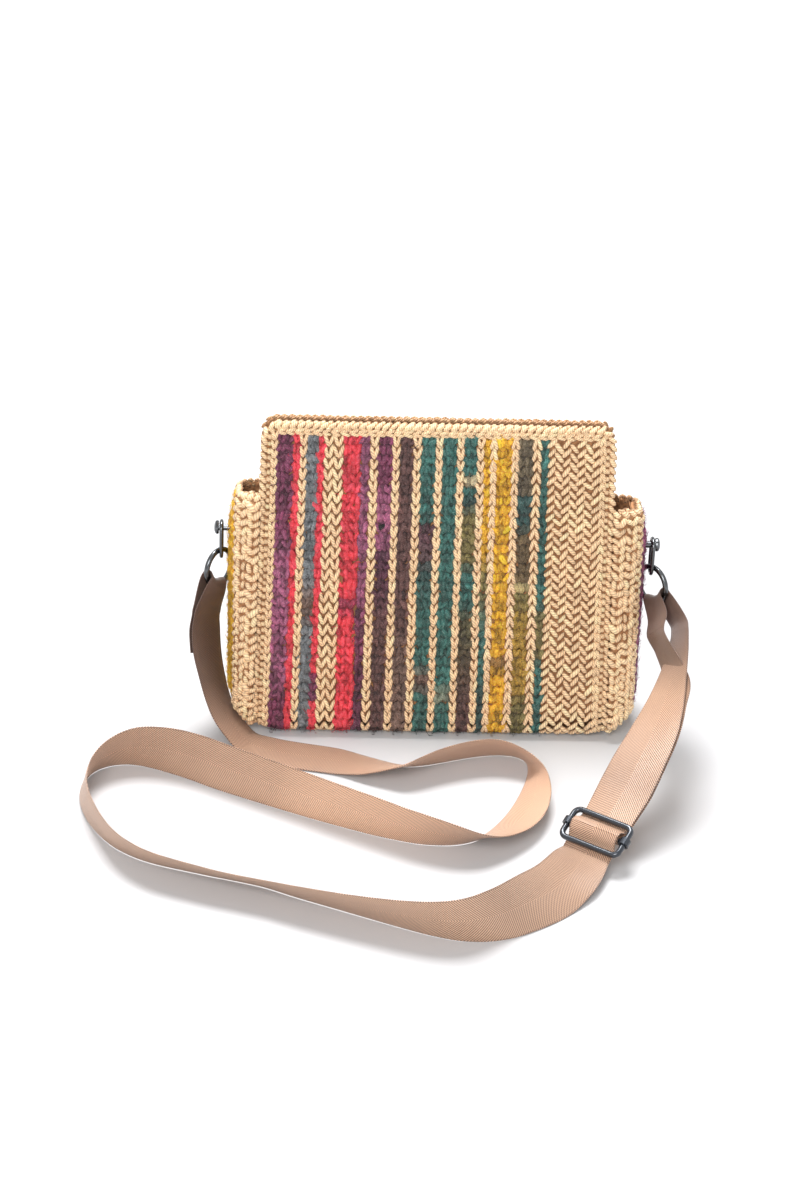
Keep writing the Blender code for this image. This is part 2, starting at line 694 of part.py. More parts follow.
def make_adjuster():
    """The adjuster: a bent wire frame, and a bar whose two sleeves slide on its short sides."""
    length, height = FRAME_LENGTH - 2 * FRAME_WIRE, FRAME_HEIGHT - 2 * FRAME_WIRE
    outline = oblong(length, height, FRAME_CORNER - FRAME_WIRE, 3)
    wire("adjuster_frame", [adjuster_point(v, u, 0) for u, v in outline], FRAME_WIRE, "black_wire", closed=True)
    bore = FRAME_WIRE + CLEARANCE
    bar = round_bar("adjuster_bar", ADJUSTER_CENTRE, BAR_RADIUS, length - 2 * bore, ADJUSTER_ACROSS, 12)
    BAG.objects.link(bar)
    bar.data.materials.append(new_material(bar.name, "black_wire"))
    for end in (-1, 1):
        place = adjuster_point(0, end * length / 2, 0)
        sleeve = round_bar("sleeve", place, bore + SLEEVE_WALL, SLEEVE_LENGTH, ADJUSTER_ALONG, 16)
        join = bar.modifiers.new("Sleeve", "BOOLEAN")
        join.operation = "UNION"
        join.object = sleeve
        keep_as_cutter(sleeve)
    for end in (-1, 1):
        cut_round(bar, adjuster_point(0, end * length / 2, 0), bore, 2 * SLEEVE_LENGTH, ADJUSTER_ALONG)
    bar.data.shade_smooth()
    bar.data.set_sharp_from_angle(angle=radians(40))


def ring_fold(label):
    """Stations of the strap's turn over a ring, from its outer face to its inner one."""
    middle, hang, outward, along = ring_frame(label)
    wrap = RING_WIRE + CLEARANCE + STRAP_THICKNESS / 2 + FOLD_REACH
    sag = RING_RADIUS - sqrt(RING_RADIUS**2 - FOLD_HALF_WIDTH**2)
    found = []
    for i in range(7):
        a = pi * i / 6
        place = middle + hang * (RING_RADIUS - wrap * sin(a)) + outward * (wrap * cos(a))
        found.append((place - hang * sag, along * SIDES[label] * -1, FOLD_HALF_WIDTH, hang * sag))
    return found


def bar_loop():
    """Stations of the strap's sewn end round the adjuster's bar, coming in from beneath."""
    wrap = BAR_RADIUS + CLEARANCE + STRAP_THICKNESS / 2
    turns = [radians(a) for a in (-90, -135, -180, -225, -270, -300)]
    return [(wrap * cos(a), wrap * sin(a)) for a in turns]


def at_adjuster(places):
    level = Vector((0, 0, 0))
    return [(adjuster_point(along, 0, up), -ADJUSTER_ACROSS, STRAP_AT_BAR / 2, level) for along, up in places]


def make_strap():
    """The webbing, one ribbon from its sewn end at the left ring to that at the adjuster."""
    under = -(FRAME_WIRE + 1.5 * CLEARANCE + STRAP_THICKNESS / 2)
    over = BAR_RADIUS + 2 * CLEARANCE + 1.5 * STRAP_THICKNESS
    lower = under - STRAP_THICKNESS - 2 * CLEARANCE
    edge = FRAME_HEIGHT / 2 - FRAME_WIRE
    rise = (
        (-edge - 0.004, under - 0.0006), (-edge, under), (-0.0070, under * 0.72), (-0.0050, over * 0.08),
        (-0.0030, over * 0.76), (0, over), (0.0030, over * 0.76), (0.0050, over * 0.08),
        (0.0070, under * 0.72), (edge, under), (edge + 0.004, under),
    )
    back = ((0.020, lower - 0.0004), (0.014, lower), (edge, lower), (0.0060, lower * 0.85), (0.0028, lower * 0.62))
    main = [station(*row) for row in STRAP_ROUTE]
    doubled = [beside(main, i, DOUBLED_GAP) for i in (3, 2, 1, 0)]
    route = doubled + ring_fold("left")[::1] + main + at_adjuster(rise)
    route += [station(*row) for row in STRAP_RISE] + ring_fold("right")
    route += [station(*row) for row in STRAP_RETURN] + at_adjuster(back) + at_adjuster(bar_loop())
    ribbon("strap", route)


def beside(route, i, gap):
    """A station beside one of the route, moved off along the strap's face."""
    place, across, half, sag = route[i]
    run = (route[i + 1][0] - route[max(i - 1, 0)][0]).normalized()
    return place + run.cross(across).normalized() * gap, across, half, sag


def station(x, y, z, heading, climb, width=STRAP_WIDTH * 1000):
    """A place on the route, the unit vector across the strap there, its half width and sag."""
    turn, rise = radians(heading), radians(climb)
    across = Vector((cos(turn) * cos(rise), sin(turn) * cos(rise), sin(rise)))
    return Vector((x, y, z)) / 1000, across, width / 2000, Vector((0, 0, 0))


def ribbon(name, route):
    rings = []
    for i, (place, across, half, sag) in enumerate(route):
        run = (route[min(i + 1, len(route) - 1)][0] - route[max(i - 1, 0)][0]).normalized()
        side = across * half
        up = run.cross(side).normalized() * (STRAP_THICKNESS / 2)
        line = (place + side, place + sag, place - side)
        rings.append([point + up for point in line] + [point - up for point in reversed(line)])
    return loft(name, rings, "webbing")


def make_rows():
    """Lays the rows side by side from the left border to the right one."""
    left = -PANEL_HALF + BORDER_SIDE
    for name, width, look in ROWS:
        middle = left + width / 2
        if look in ("down", "up"):
            chain_row(name, middle, width, look == "down")
        else:
            wool_row(name, middle, width, look)
        left += width
    braid_panel("braid_panel", left, PANEL_HALF - BORDER_SIDE)


def main():
    make_wrap()
    make_rows()
    border("border_front", back=False)
    border("border_back", back=True)
    for label, finish in (("left", "yellow"), ("right", "mauve")):
        gusset = make_gusset(label)
        wool = make_gusset_wool(label, finish)
        make_stud(label, gusset, wool)
        make_link(label)
        make_ring(label)
    make_adjuster()
    make_strap()


clear_scene()
BAG = new_collection("crossbody_bag")
CUTTERS = new_collection("cutters", hidden=True)
main()
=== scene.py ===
"""Dresses the crocheted crossbody bag: stitched cord and wool, webbing, metal and the studio round them."""

import logging
from dataclasses import dataclass, field, replace
from enum import Enum
from math import atan, atan2, cos, pi, radians, sin, sqrt
from typing import Callable, Iterable, Sequence

import bmesh
import bpy
import numpy as np
from mathutils import Matrix, Vector


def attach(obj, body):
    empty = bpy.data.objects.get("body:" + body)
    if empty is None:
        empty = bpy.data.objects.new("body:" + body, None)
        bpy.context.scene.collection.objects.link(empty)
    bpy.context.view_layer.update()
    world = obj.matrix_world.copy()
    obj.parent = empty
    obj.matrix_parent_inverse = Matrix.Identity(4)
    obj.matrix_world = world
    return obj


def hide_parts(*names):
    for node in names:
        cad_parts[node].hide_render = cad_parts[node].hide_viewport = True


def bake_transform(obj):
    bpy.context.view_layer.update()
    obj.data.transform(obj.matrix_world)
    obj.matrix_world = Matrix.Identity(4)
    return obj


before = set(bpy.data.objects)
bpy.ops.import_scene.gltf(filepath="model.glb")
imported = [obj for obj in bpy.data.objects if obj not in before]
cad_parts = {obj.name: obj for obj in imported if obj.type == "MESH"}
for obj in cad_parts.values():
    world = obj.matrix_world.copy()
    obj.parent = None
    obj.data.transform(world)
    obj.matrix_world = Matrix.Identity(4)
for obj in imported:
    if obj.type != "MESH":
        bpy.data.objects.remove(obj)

logging.basicConfig(level=logging.INFO, format="%(message)s")
log = logging.getLogger("bag")

Colour = tuple[float, float, float]


def srgb(red: int, green: int, blue: int) -> Colour:
    """Turns a colour of 0 to 255 values into linear values.

    Args:
        red: Red, 0 to 255.
        green: Green, 0 to 255.
        blue: Blue, 0 to 255.

    Returns:
        The linear colour.
    """
    def linear(value: float) -> float:
        value /= 255
        return value / 12.92 if value <= 0.04045 else ((value + 0.055) / 1.055) ** 2.4

    return linear(red), linear(green), linear(blue)


def mesh_data(name: str, mesh: bmesh.types.BMesh) -> bpy.types.Mesh:
    """Turns an edited mesh into mesh data.

    Args:
        name: The data's name.
        mesh: The edited mesh, which is freed.

    Returns:
        The mesh data.
    """
    data = bpy.data.meshes.new(name)
    mesh.to_mesh(data)
    mesh.free()
    return data


def skin(mesh: bmesh.types.BMesh, rings: list[list[bmesh.types.BMVert]], closed: bool = False) -> None:
    """Joins rings of points with faces.

    Args:
        mesh: The edited mesh.
        rings: The rings, each with as many points.
        closed: Whether the last joins the first. If not, both ends are closed flat.
    """
    count = len(rings[0])
    for near, far in zip(rings, rings[1:] + rings[:1] if closed else rings[1:]):
        for i in range(count):
            j = (i + 1) % count
            mesh.faces.new((near[i], near[j], far[j], far[i]))
    if not closed:
        mesh.faces.new(rings[0][::-1])
        mesh.faces.new(rings[-1])


def line_length(points: Sequence[Sequence[float]]) -> float:
    """The length of a line through points."""
    return sum((Vector(q) - Vector(p)).length for p, q in zip(points, points[1:]))


def add_object(name: str, data: bpy.types.ID) -> bpy.types.Object:
    """Adds an object with this data to the scene."""
    obj = bpy.data.objects.new(name, data)
    bpy.context.scene.collection.objects.link(obj)
    return obj


def store(data: bpy.types.Mesh, name: str, kind: str, part: str, values: object) -> None:
    """Stores numbers at a mesh's points.

    Args:
        data: The mesh data.
        name: The attribute's name.
        kind: The attribute's data type.
        part: What each value is called in it.
        values: The numbers, one or several a point.
    """
    number = np.int32 if kind == "INT" else np.float32
    data.attributes.new(name, kind, "POINT").data.foreach_set(part, np.array(values, number).ravel())


class Lean(Enum):
    """How the stitches of a lane lie."""

    DOWN = "down"
    UP = "up"
    FORWARD = "forward"
    BACKWARD = "backward"
    BEAD = "bead"


# Shape of the bag


@dataclass(frozen=True)
class BagSize:
    """The sizes of the bag in metres: the CAD model's, but for those of the fabric's own hang.

    Attributes:
        width: The width over both gussets.
        height: The height of the front and the back.
        base_depth: The depth at the floor.
        top_depth: The depth at the top.
        panel_base_width: The front's width at the floor.
        panel_top_width: The front's width at the top.
        panel_shift: How far to the right the panel's middle hangs.
        solid_shift: The same for the CAD model.
        bottom_round: The radius between the front and the bottom.
        corner_reach: How far in from each side the lower corners are rounded.
        corner_lift: How far the corners are raised.
        lift_fade: The height where that ends.
        border_side: The width of the edging at the panel's sides.
        border_top: Its width at the top.
        edge_corner: The radius of the panel's upper corners.
        gusset_round: The radius of a gusset's upright corners.
        left_top: The height of the left gusset.
        right_top: The height of the right gusset.
        stud_drop: How far below a gusset's top its stud is.
    """

    width: float = 0.241
    height: float = 0.190
    base_depth: float = 0.070
    top_depth: float = 0.018
    panel_base_width: float = 0.213
    panel_top_width: float = 0.205
    panel_shift: float = -0.0018
    solid_shift: float = 0.003
    bottom_round: float = 0.010
    corner_reach: float = 0.030
    corner_lift: float = 0.015
    lift_fade: float = 0.060
    border_side: float = 0.009
    border_top: float = 0.0048
    edge_corner: float = 0.0095
    gusset_round: float = 0.009
    left_top: float = 0.146
    right_top: float = 0.140
    stud_drop: float = 0.0245

    @property
    def lean(self) -> float:
        """The angle by which the front and the back lean in."""
        return atan((self.base_depth - self.top_depth) / 2 / self.height)

    @property
    def panel_half(self) -> float:
        """Half the panel's width at the floor."""
        return self.panel_base_width / 2

    def top(self, side: int) -> float:
        """The height of the gusset on a side, -1 for left and 1 for right."""
        return self.left_top if side < 0 else self.right_top

    def panel_scale(self, z: float) -> float:
        """How much narrower than at the floor the panel is at a height."""
        return 1 - (1 - self.panel_top_width / self.panel_base_width) * z / self.height

    def lifted(self, x: float, y: float, z: float) -> Vector:
        """Raises a point where the bag's lower corners are rounded."""
        past = max(0.0, abs(x) - (self.width / 2 - self.corner_reach)) / self.corner_reach
        return Vector((x, y, z + self.corner_lift * past**2 * max(0.0, 1 - z / self.lift_fade) ** 2))


SIZE = BagSize()


@dataclass(frozen=True)
class Wall:
    """The bag's section from a top edge on the front, under the bottom, to the back.

    Attributes:
        inset: How far inside the outermost face it runs.
        top: The height of its top edge.
    """

    inset: float
    top: float = SIZE.height

    @property
    def radius(self) -> float:
        """The radius of the bend at the bottom."""
        return SIZE.bottom_round - self.inset

    @property
    def centre_y(self) -> float:
        """The middle of that bend."""
        return -SIZE.base_depth / 2 + SIZE.bottom_round * (1 + sin(SIZE.lean)) / cos(SIZE.lean)

    @property
    def straight(self) -> float:
        """The length of the straight part of the front."""
        foot = SIZE.bottom_round + sin(SIZE.lean) * self.radius
        return (self.top - foot) / cos(SIZE.lean)

    @property
    def arc(self) -> float:
        """The length of the bend."""
        return self.radius * (pi / 2 + SIZE.lean)

    @property
    def length(self) -> float:
        """The length from the top edge to the middle of the bottom."""
        return self.straight + self.arc - self.centre_y

    def at(self, distance: float, out: float = 0.0) -> tuple[float, float]:
        """The (y, z) at a distance from the front's top edge, all round to the back's.

        Args:
            distance: The distance, which may run past the bottom's middle.
            out: How far outwards.

        Returns:
            The place in the bag's section.
        """
        back = distance > self.length
        along = 2 * self.length - distance if back else distance
        if along <= self.straight:
            climb = self.straight - along
            reach = self.radius + out
            y = self.centre_y + sin(SIZE.lean) * climb - cos(SIZE.lean) * reach
            z = SIZE.bottom_round + cos(SIZE.lean) * climb + sin(SIZE.lean) * reach
        elif along <= self.straight + self.arc:
            angle = pi - SIZE.lean + (along - self.straight) / self.radius
            reach = self.radius + out
            y, z = self.centre_y + reach * cos(angle), SIZE.bottom_round + reach * sin(angle)
        else:
            y, z = self.centre_y + along - self.straight - self.arc, SIZE.bottom_round - self.radius - out
        return (-y, z) if back else (y, z)


@dataclass(frozen=True)
class Patch:
    """A surface with a place for each (across, along) and the frame there.

    Attributes:
        place: Gives the point at (across, along, out).
    """

    place: Callable[[float, float, float], Vector]

    def frame(self, a: float, b: float) -> tuple[Vector, Vector, Vector, Vector]:
        """The point there, and the unit vectors across, along and out."""
        here, step = self.place(a, b, 0.0), 0.0006
        across = (self.place(a + step, b, 0.0) - self.place(a - step, b, 0.0)).normalized()
        along = (self.place(a, b + step, 0.0) - self.place(a, b - step, 0.0)).normalized()
        out = across.cross(along).normalized()
        if out.dot(self.place(a, b, step) - here) < 0:
            out = -out
        return here, across, along, out


# How far the fabric lies inside the wrap, the seams, the gussets and their rims, and how far the
# gussets' middles bulge and from which height in full.
FABRIC, SEAM_GAP, SIDE_INSET, WOOL_INSET = 0.0030, 0.0003, 0.0012, 0.0006
WOOL_BULGE, BULGE_FADE = 0.0040, 0.02
WRAP_WALL = Wall(FABRIC)


def wrap_place(a: float, b: float, out: float) -> Vector:
    """A point on the wrap: across from the panel's middle and along from the front's top."""
    y, z = WRAP_WALL.at(b, out)
    return SIZE.lifted(SIZE.panel_shift + a * SIZE.panel_scale(z), y, z)


WRAP = Patch(wrap_place)


def gusset_patch(side: int) -> Patch:
    """The cord corner of a gusset: across is 0 at the panel and 1 at the flat side."""
    def place(a: float, b: float, out: float) -> Vector:
        turn = a * pi / 2
        wall = Wall(min(SIZE.gusset_round * (1 - cos(turn)), SIZE.gusset_round), SIZE.top(side))
        span = 2 * Wall(0, SIZE.top(side)).length
        y, z = wall.at(b * 2 * wall.length / span, out * cos(turn))
        end = SIZE.panel_shift * side + SIZE.panel_half * SIZE.panel_scale(z) + SEAM_GAP
        x = end + (SIZE.width / 2 - SIDE_INSET - end) * sin(turn) + out * sin(turn)
        return SIZE.lifted(side * x, y, z)

    return Patch(place)


def side_patch(side: int) -> Patch:
    """The wool middle of a gusset: across is -1 to 1 from front to back, along is down."""
    def place(a: float, b: float, out: float) -> Vector:
        y, z = Wall(SIZE.gusset_round + WOOL_INSET, SIZE.top(side)).at(b)
        bulge = WOOL_BULGE * (1 - a * a) * min(1.0, b / BULGE_FADE)
        return SIZE.lifted(side * (SIZE.width / 2 - SIDE_INSET + bulge + out), -y * a, z)

    return Patch(place)


# Stitches


# How high the lowest fibre stays, the least height of a leg's middle in its own thicknesses, and from
# how many numbers a leg's kind is drawn.
FLOOR_GAP, REST, KINDS = 0.0001, 0.6, 12


@dataclass
class Stitches:
    """Legs of yarn waiting to be laid.

    Attributes:
        points: The middle of each.
        turns: How each is turned.
        sizes: The length, width and height of each.
        tints: The colour of each.
        kinds: Which of the legs each repeats.
        seed: Where the random draws start.
    """

    points: list[Vector] = field(default_factory=list)
    turns: list[tuple[float, ...]] = field(default_factory=list)
    sizes: list[tuple[float, float, float]] = field(default_factory=list)
    tints: list[Colour] = field(default_factory=list)
    kinds: list[int] = field(default_factory=list)
    seed: int = 1

    def __post_init__(self) -> None:
        self.chance = np.random.default_rng(self.seed)

    def leg(
        self, point: Vector, heading: Vector, out: Vector, size: tuple[float, float, float], tint: Colour
    ) -> None:
        """Adds one leg of yarn.

        Args:
            point: Its middle.
            heading: The direction that it runs in.
            out: The direction away from the fabric.
            size: Its length, width and height.
            tint: Its colour.
        """
        side = out.cross(heading).normalized()
        turn = Matrix((heading, side, heading.cross(side))).transposed().to_quaternion()
        self.points.append(point)
        self.turns.append(tuple(turn))
        self.sizes.append(size)
        self.tints.append(tint)
        self.kinds.append(int(self.chance.integers(0, KINDS)))

    def lay(
        self,
        patch: Patch,
        route: Sequence[tuple[float, float, float]],
        lane: "Lane",
        tint: Callable[[float], Colour],
    ) -> None:
        """Lays a lane of stitches along a route on a patch.

        Args:
            patch: The surface.
            route: For each stitch its (across, along) and heading on the patch, 0 for straight along.
            lane: What the stitches are like.
            tint: Gives the colour at a distance along.
        """
        for a, b, heading in route:
            here, across, along, out = patch.frame(a, b)
            forward = along * cos(heading) + across * sin(heading)
            aside = across * cos(heading) - along * sin(heading)
            colour = tint(b)
            for offset, angle, scale in lane.legs():
                jitter = self.chance.normal(0, 1, 5)
                slant = angle + jitter[0] * lane.jitter
                direction = (forward * cos(slant) + aside * sin(slant)).normalized()
                place = here + aside * (offset + jitter[1] * lane.jitter * 0.0008) + out * lane.lift
                place += forward * jitter[2] * lane.jitter * 0.0012
                place.z = max(place.z, lane.thick * REST)
                shade = 1 + lane.fade * jitter[3]
                swell = 1 + (0.04 + lane.jitter * 0.25) * jitter[4]
                size = (lane.length * scale * swell, (lane.bed or lane.thick) * swell, lane.thick * swell)
                self.leg(place, direction, out, size, tuple(min(1.0, c * shade) for c in colour))

    def build(self, name: str, legs: bpy.types.Collection, finish: "Finish") -> bpy.types.Object:
        """Makes the legs into one mesh through the stitch node tree.

        Args:
            name: The piece's name.
            legs: The legs of yarn that are repeated by turns.
            finish: The yarn's finish.

        Returns:
            The finished piece.
        """
        mesh = bpy.data.meshes.new(name + "_places")
        mesh.from_pydata(self.points, [], [])
        store(mesh, "turn", "QUATERNION", "value", self.turns)
        store(mesh, "size", "FLOAT_VECTOR", "vector", self.sizes)
        store(mesh, "tint", "FLOAT_COLOR", "color", [(*tint, 1.0) for tint in self.tints])
        store(mesh, "kind", "INT", "value", self.kinds)
        obj = add_object(name, mesh)
        modifier = obj.modifiers.new("Stitches", "NODES")
        modifier.node_group = stitch_tree()
        for item in modifier.node_group.interface.items_tree:
            if item.item_type == "SOCKET" and item.in_out == "INPUT":
                if item.name == "Legs":
                    modifier[item.identifier] = legs
                elif item.name == "Finish":
                    modifier[item.identifier] = finish.material()
        graph = bpy.context.evaluated_depsgraph_get()
        final = bpy.data.meshes.new_from_object(obj.evaluated_get(graph), depsgraph=graph)
        obj.modifiers.remove(modifier)
        obj.data = final
        final.name = name
        places = np.empty(len(final.vertices) * 3, np.float32)
        final.vertices.foreach_get("co", places)
        places[2::3] = np.maximum(places[2::3], FLOOR_GAP)
        final.vertices.foreach_set("co", places)
        final.shade_smooth()
        log.info("%s: %d stitches, %d faces", name, len(self.points), len(final.polygons))
        return obj


@dataclass(frozen=True)
class Lane:
    """A column of stitches of one kind.

    Attributes:
        lean: How they lie.
        width: The lane's width.
        pitch: The distance from stitch to stitch.
        length: The length of a leg.
        thick: How thick a leg is.
        lift: How far its middle stands off the fabric.
        jitter: How uneven it is.
        slant: The angle of a leg that leans forward or backward.
        bed: How wide a leg is where it is flat.
        fade: How much the shade differs from leg to leg.
    """

    lean: Lean
    width: float
    pitch: float
    length: float
    thick: float
    lift: float = 0.0006
    jitter: float = 0.08
    slant: float = 0.78
    bed: float = 0.0
    fade: float = 0.07

    def legs(self) -> list[tuple[float, float, float]]:
        """The (offset across, angle, length scale) of the legs in one stitch."""
        spread = self.width * 0.24
        slant = atan2(self.width * 0.36, self.pitch * 0.9)
        if self.lean is Lean.DOWN:
            return [(-spread, slant, 1.0), (spread, -slant, 1.0)]
        if self.lean is Lean.UP:
            return [(-spread, -slant, 1.0), (spread, slant, 1.0)]
        if self.lean is Lean.FORWARD:
            return [(0, self.slant, 1.0)]
        if self.lean is Lean.BACKWARD:
            return [(0, -self.slant, 1.0)]
        return [(0, pi / 2, 1.0)]


def stitch_tree() -> bpy.types.NodeTree:
    """The node tree that lays a leg of yarn on each point, turned, sized and tinted.

    Returns:
        The tree, made on the first call.
    """
    found = bpy.data.node_groups.get("StitchLayer")
    if found:
        return found
    tree = bpy.data.node_groups.new("StitchLayer", "GeometryNodeTree")
    for name, kind, way in (
        ("Geometry", "NodeSocketGeometry", "INPUT"),
        ("Legs", "NodeSocketCollection", "INPUT"),
        ("Plumpness", "NodeSocketFloat", "INPUT"),
        ("Finish", "NodeSocketMaterial", "INPUT"),
        ("Geometry", "NodeSocketGeometry", "OUTPUT"),
    ):
        socket = tree.interface.new_socket(name, in_out=way, socket_type=kind)
        if name == "Plumpness":
            socket.default_value = 1.0
    n = Nodes(tree)
    start, end = n.add("NodeGroupInput"), n.add("NodeGroupOutput")
    info = n.add("GeometryNodeCollectionInfo")
    info.inputs["Separate Children"].default_value = True
    info.inputs["Reset Children"].default_value = True
    points, instances = n.add("GeometryNodeMeshToPoints"), n.add("GeometryNodeInstanceOnPoints")
    instances.inputs["Pick Instance"].default_value = True
    real, paint = n.add("GeometryNodeRealizeInstances"), n.add("GeometryNodeSetMaterial")
    stored = {}
    for name, kind in (("turn", "QUATERNION"), ("size", "FLOAT_VECTOR"), ("kind", "INT")):
        node = n.add("GeometryNodeInputNamedAttribute", data_type=kind)
        node.inputs["Name"].default_value = name
        stored[name] = node.outputs["Attribute"]
    plump = n.add("ShaderNodeVectorMath", operation="SCALE")
    for source, target in (
        (start.outputs["Geometry"], points.inputs["Mesh"]),
        (points.outputs["Points"], instances.inputs["Points"]),
        (stored["kind"], instances.inputs["Instance Index"]),
        (start.outputs["Legs"], info.inputs["Collection"]),
        (info.outputs["Instances"], instances.inputs["Instance"]),
        (stored["turn"], instances.inputs["Rotation"]),
        (stored["size"], plump.inputs[0]),
        (start.outputs["Plumpness"], plump.inputs["Scale"]),
        (plump.outputs["Vector"], instances.inputs["Scale"]),
        (instances.outputs["Instances"], real.inputs["Geometry"]),
        (real.outputs["Geometry"], paint.inputs["Geometry"]),
        (start.outputs["Finish"], paint.inputs["Material"]),
        (paint.outputs["Geometry"], end.inputs["Geometry"]),
    ):
        n.link(source, target)
    return tree


def make_legs(
    name: str, around: int, rings: int, dip: float, plies: int, twist: float, kinds: int = 1, fibres: int = 0
) -> bpy.types.Collection:
    """Legs of yarn, 1 long and 1 thick, whose ends sink into the fabric.

    Args:
        name: The legs' name.
        around: Faces round each.
        rings: Rings of points along it.
        dip: How far its ends sink, in thicknesses.
        plies: How many plies it is twisted from.
        twist: The plies' turn over its length, in radians.
        kinds: How many different legs to make.
        fibres: Loose fibres on each.

    Returns:
        A collection of the legs, which isn't in the scene.
    """
    found = bpy.data.collections.new(name)
    chance = np.random.default_rng(5)
    for index in range(kinds):
        mesh, rows, marks = bmesh.new(), [], []
        bend = chance.normal(0, 0.05, 2) if kinds > 1 else (0, 0)
        for i in range(rings):
            t = i / (rings - 1)
            u = 2 * t - 1
            radius = max(0.5 * (1 - abs(u) ** 4.0) ** 0.5, 0.18)
            if kinds > 1:
                radius *= chance.uniform(0.9, 1.1)
            row = []
            for j in range(around):
                a = 2 * pi * j / around
                lobe = 1 + 0.05 * cos(plies * a + twist * t) if plies else chance.uniform(0.9, 1.1)
                y, z = radius * lobe * cos(a) + bend[0] * u, radius * lobe * sin(a) - dip * u**2 + bend[1] * u
                row.append(mesh.verts.new((u / 2, y, z)))
                marks.append((t, cos(a), sin(a)))
            rows.append(row)
        skin(mesh, rows)
        for _ in range(fibres):
            marks += add_fibre(mesh, chance)
        bmesh.ops.recalc_face_normals(mesh, faces=mesh.faces)
        data = mesh_data(f"{name}_{index}", mesh)
        store(data, "yarn", "FLOAT_VECTOR", "vector", marks)
        found.objects.link(bpy.data.objects.new(f"{name}_{index}", data))
    return found


def add_fibre(mesh: bmesh.types.BMesh, chance: np.random.Generator) -> list[tuple[float, float, float]]:
    """Adds one thin fibre that stands off a leg of yarn and bends over.

    Args:
        mesh: The leg's mesh.
        chance: The source of its place and shape.

    Returns:
        The yarn attribute of its points.
    """
    t, a = chance.uniform(0.15, 0.85), chance.uniform(-0.3, pi + 0.3)
    foot = np.array((t - 0.5, 0.42 * cos(a), 0.42 * sin(a)))
    rise = np.array((chance.normal(0, 0.12), 0.28 * cos(a), 0.28 * sin(a))) * chance.uniform(0.6, 1.3)
    sweep = np.array((chance.normal(0, 0.16), chance.normal(0, 0.3), chance.normal(0, 0.12)))
    line, thin = (foot, foot + rise * 1.2, foot + rise * 1.6 + sweep * 1.5), (0.028, 0.022)
    rings = [
        [
            mesh.verts.new(point + wide * np.array((0.4 * cos(k), sin(k), cos(k + 1.0))))
            for k in (0, 2.1, 4.2)
        ]
        for point, wide in zip(line, thin)
    ]
    tip = mesh.verts.new(line[2])
    for i in range(3):
        j = (i + 1) % 3
        mesh.faces.new((rings[0][i], rings[0][j], rings[1][j], rings[1][i]))
        mesh.faces.new((rings[1][i], rings[1][j], tip))
    return [(t, cos(a), sin(a))] * 7


# Finishes


GROUND_ROW, GROUND_COLUMN = 0.006, 0.0047


def shader_group(name: str, inputs: dict[str, float], output: str) -> tuple[bpy.types.NodeTree, bool]:
    """A shader node group with number sockets.

    Args:
        name: The group's name.
        inputs: Each input and its value to start with.
        output: The output's name.

    Returns:
        The group, and whether it is new and still has to be filled.
    """
    found = bpy.data.node_groups.get(name)
    if found:
        return found, False
    tree = bpy.data.node_groups.new(name, "ShaderNodeTree")
    for key, value in inputs.items():
        socket = tree.interface.new_socket(key, in_out="INPUT", socket_type="NodeSocketFloat")
        socket.default_value = value
    tree.interface.new_socket(output, in_out="OUTPUT", socket_type="NodeSocketFloat")
    return tree, True


@dataclass
class Nodes:
    """A short way to write node trees."""

    tree: bpy.types.NodeTree

    def add(self, kind: str, **settings: object) -> bpy.types.Node:
        """Adds a node with the given settings."""
        node = self.tree.nodes.new(kind)
        for key, value in settings.items():
            setattr(node, key, value)
        return node

    def math(self, operation: str, *values: object) -> bpy.types.NodeSocket:
        """Adds a Math node fed with sockets or numbers and gives its output."""
        node = self.add("ShaderNodeMath", operation=operation)
        for socket, value in zip(node.inputs, values):
            if isinstance(value, bpy.types.NodeSocket):
                self.tree.links.new(value, socket)
            else:
                socket.default_value = value
        return node.outputs[0]

    def link(self, start: bpy.types.NodeSocket, end: bpy.types.NodeSocket) -> None:
        """Joins two sockets."""
        self.tree.links.new(start, end)

    def mix(self, factor: object, dark: object, light: object, blend: str = "MIX") -> bpy.types.NodeSocket:
        """Mixes two colours, each a socket or a colour, by a socket or a number."""
        node = self.add("ShaderNodeMix", data_type="RGBA", blend_type=blend)
        for socket, value in ((node.inputs[0], factor), (node.inputs[6], dark), (node.inputs[7], light)):
            if isinstance(value, bpy.types.NodeSocket):
                self.link(value, socket)
            elif isinstance(value, tuple):
                socket.default_value = (*value, 1.0)
            else:
                socket.default_value = value
        return node.outputs[2]

    def split(self, vector: bpy.types.NodeSocket) -> Sequence[bpy.types.NodeSocket]:
        """The three parts of a vector."""
        node = self.add("ShaderNodeSeparateXYZ")
        self.link(vector, node.inputs[0])
        return node.outputs

    def attribute(self, name: str, output: str) -> bpy.types.NodeSocket:
        """A stored attribute of the piece."""
        return self.add("ShaderNodeAttribute", attribute_name=name).outputs[output]

    def own_place(self) -> bpy.types.NodeSocket:
        """The place in the piece's own coordinates."""
        return self.add("ShaderNodeTexCoord").outputs["Object"]

    def shaded(self, colour: object, shade: bpy.types.NodeSocket) -> bpy.types.NodeSocket:
        """A colour made lighter or darker by a number."""
        grey = self.add("ShaderNodeCombineColor")
        for socket in grey.inputs:
            self.link(shade, socket)
        return self.mix(1.0, colour, grey.outputs[0], "MULTIPLY")

    def clamped(self, value: bpy.types.NodeSocket, low: float, high: float) -> bpy.types.NodeSocket:
        """A number kept between two others."""
        return self.math("MINIMUM", self.math("MAXIMUM", value, low), high)

    def seen(self) -> bpy.types.NodeSocket:
        """1 where the camera or a reflection looks, otherwise 0."""
        light = self.add("ShaderNodeLightPath")
        return self.math(
            "MINIMUM", self.math("ADD", light.outputs["Is Camera Ray"], light.outputs["Is Glossy Ray"]), 1.0
        )


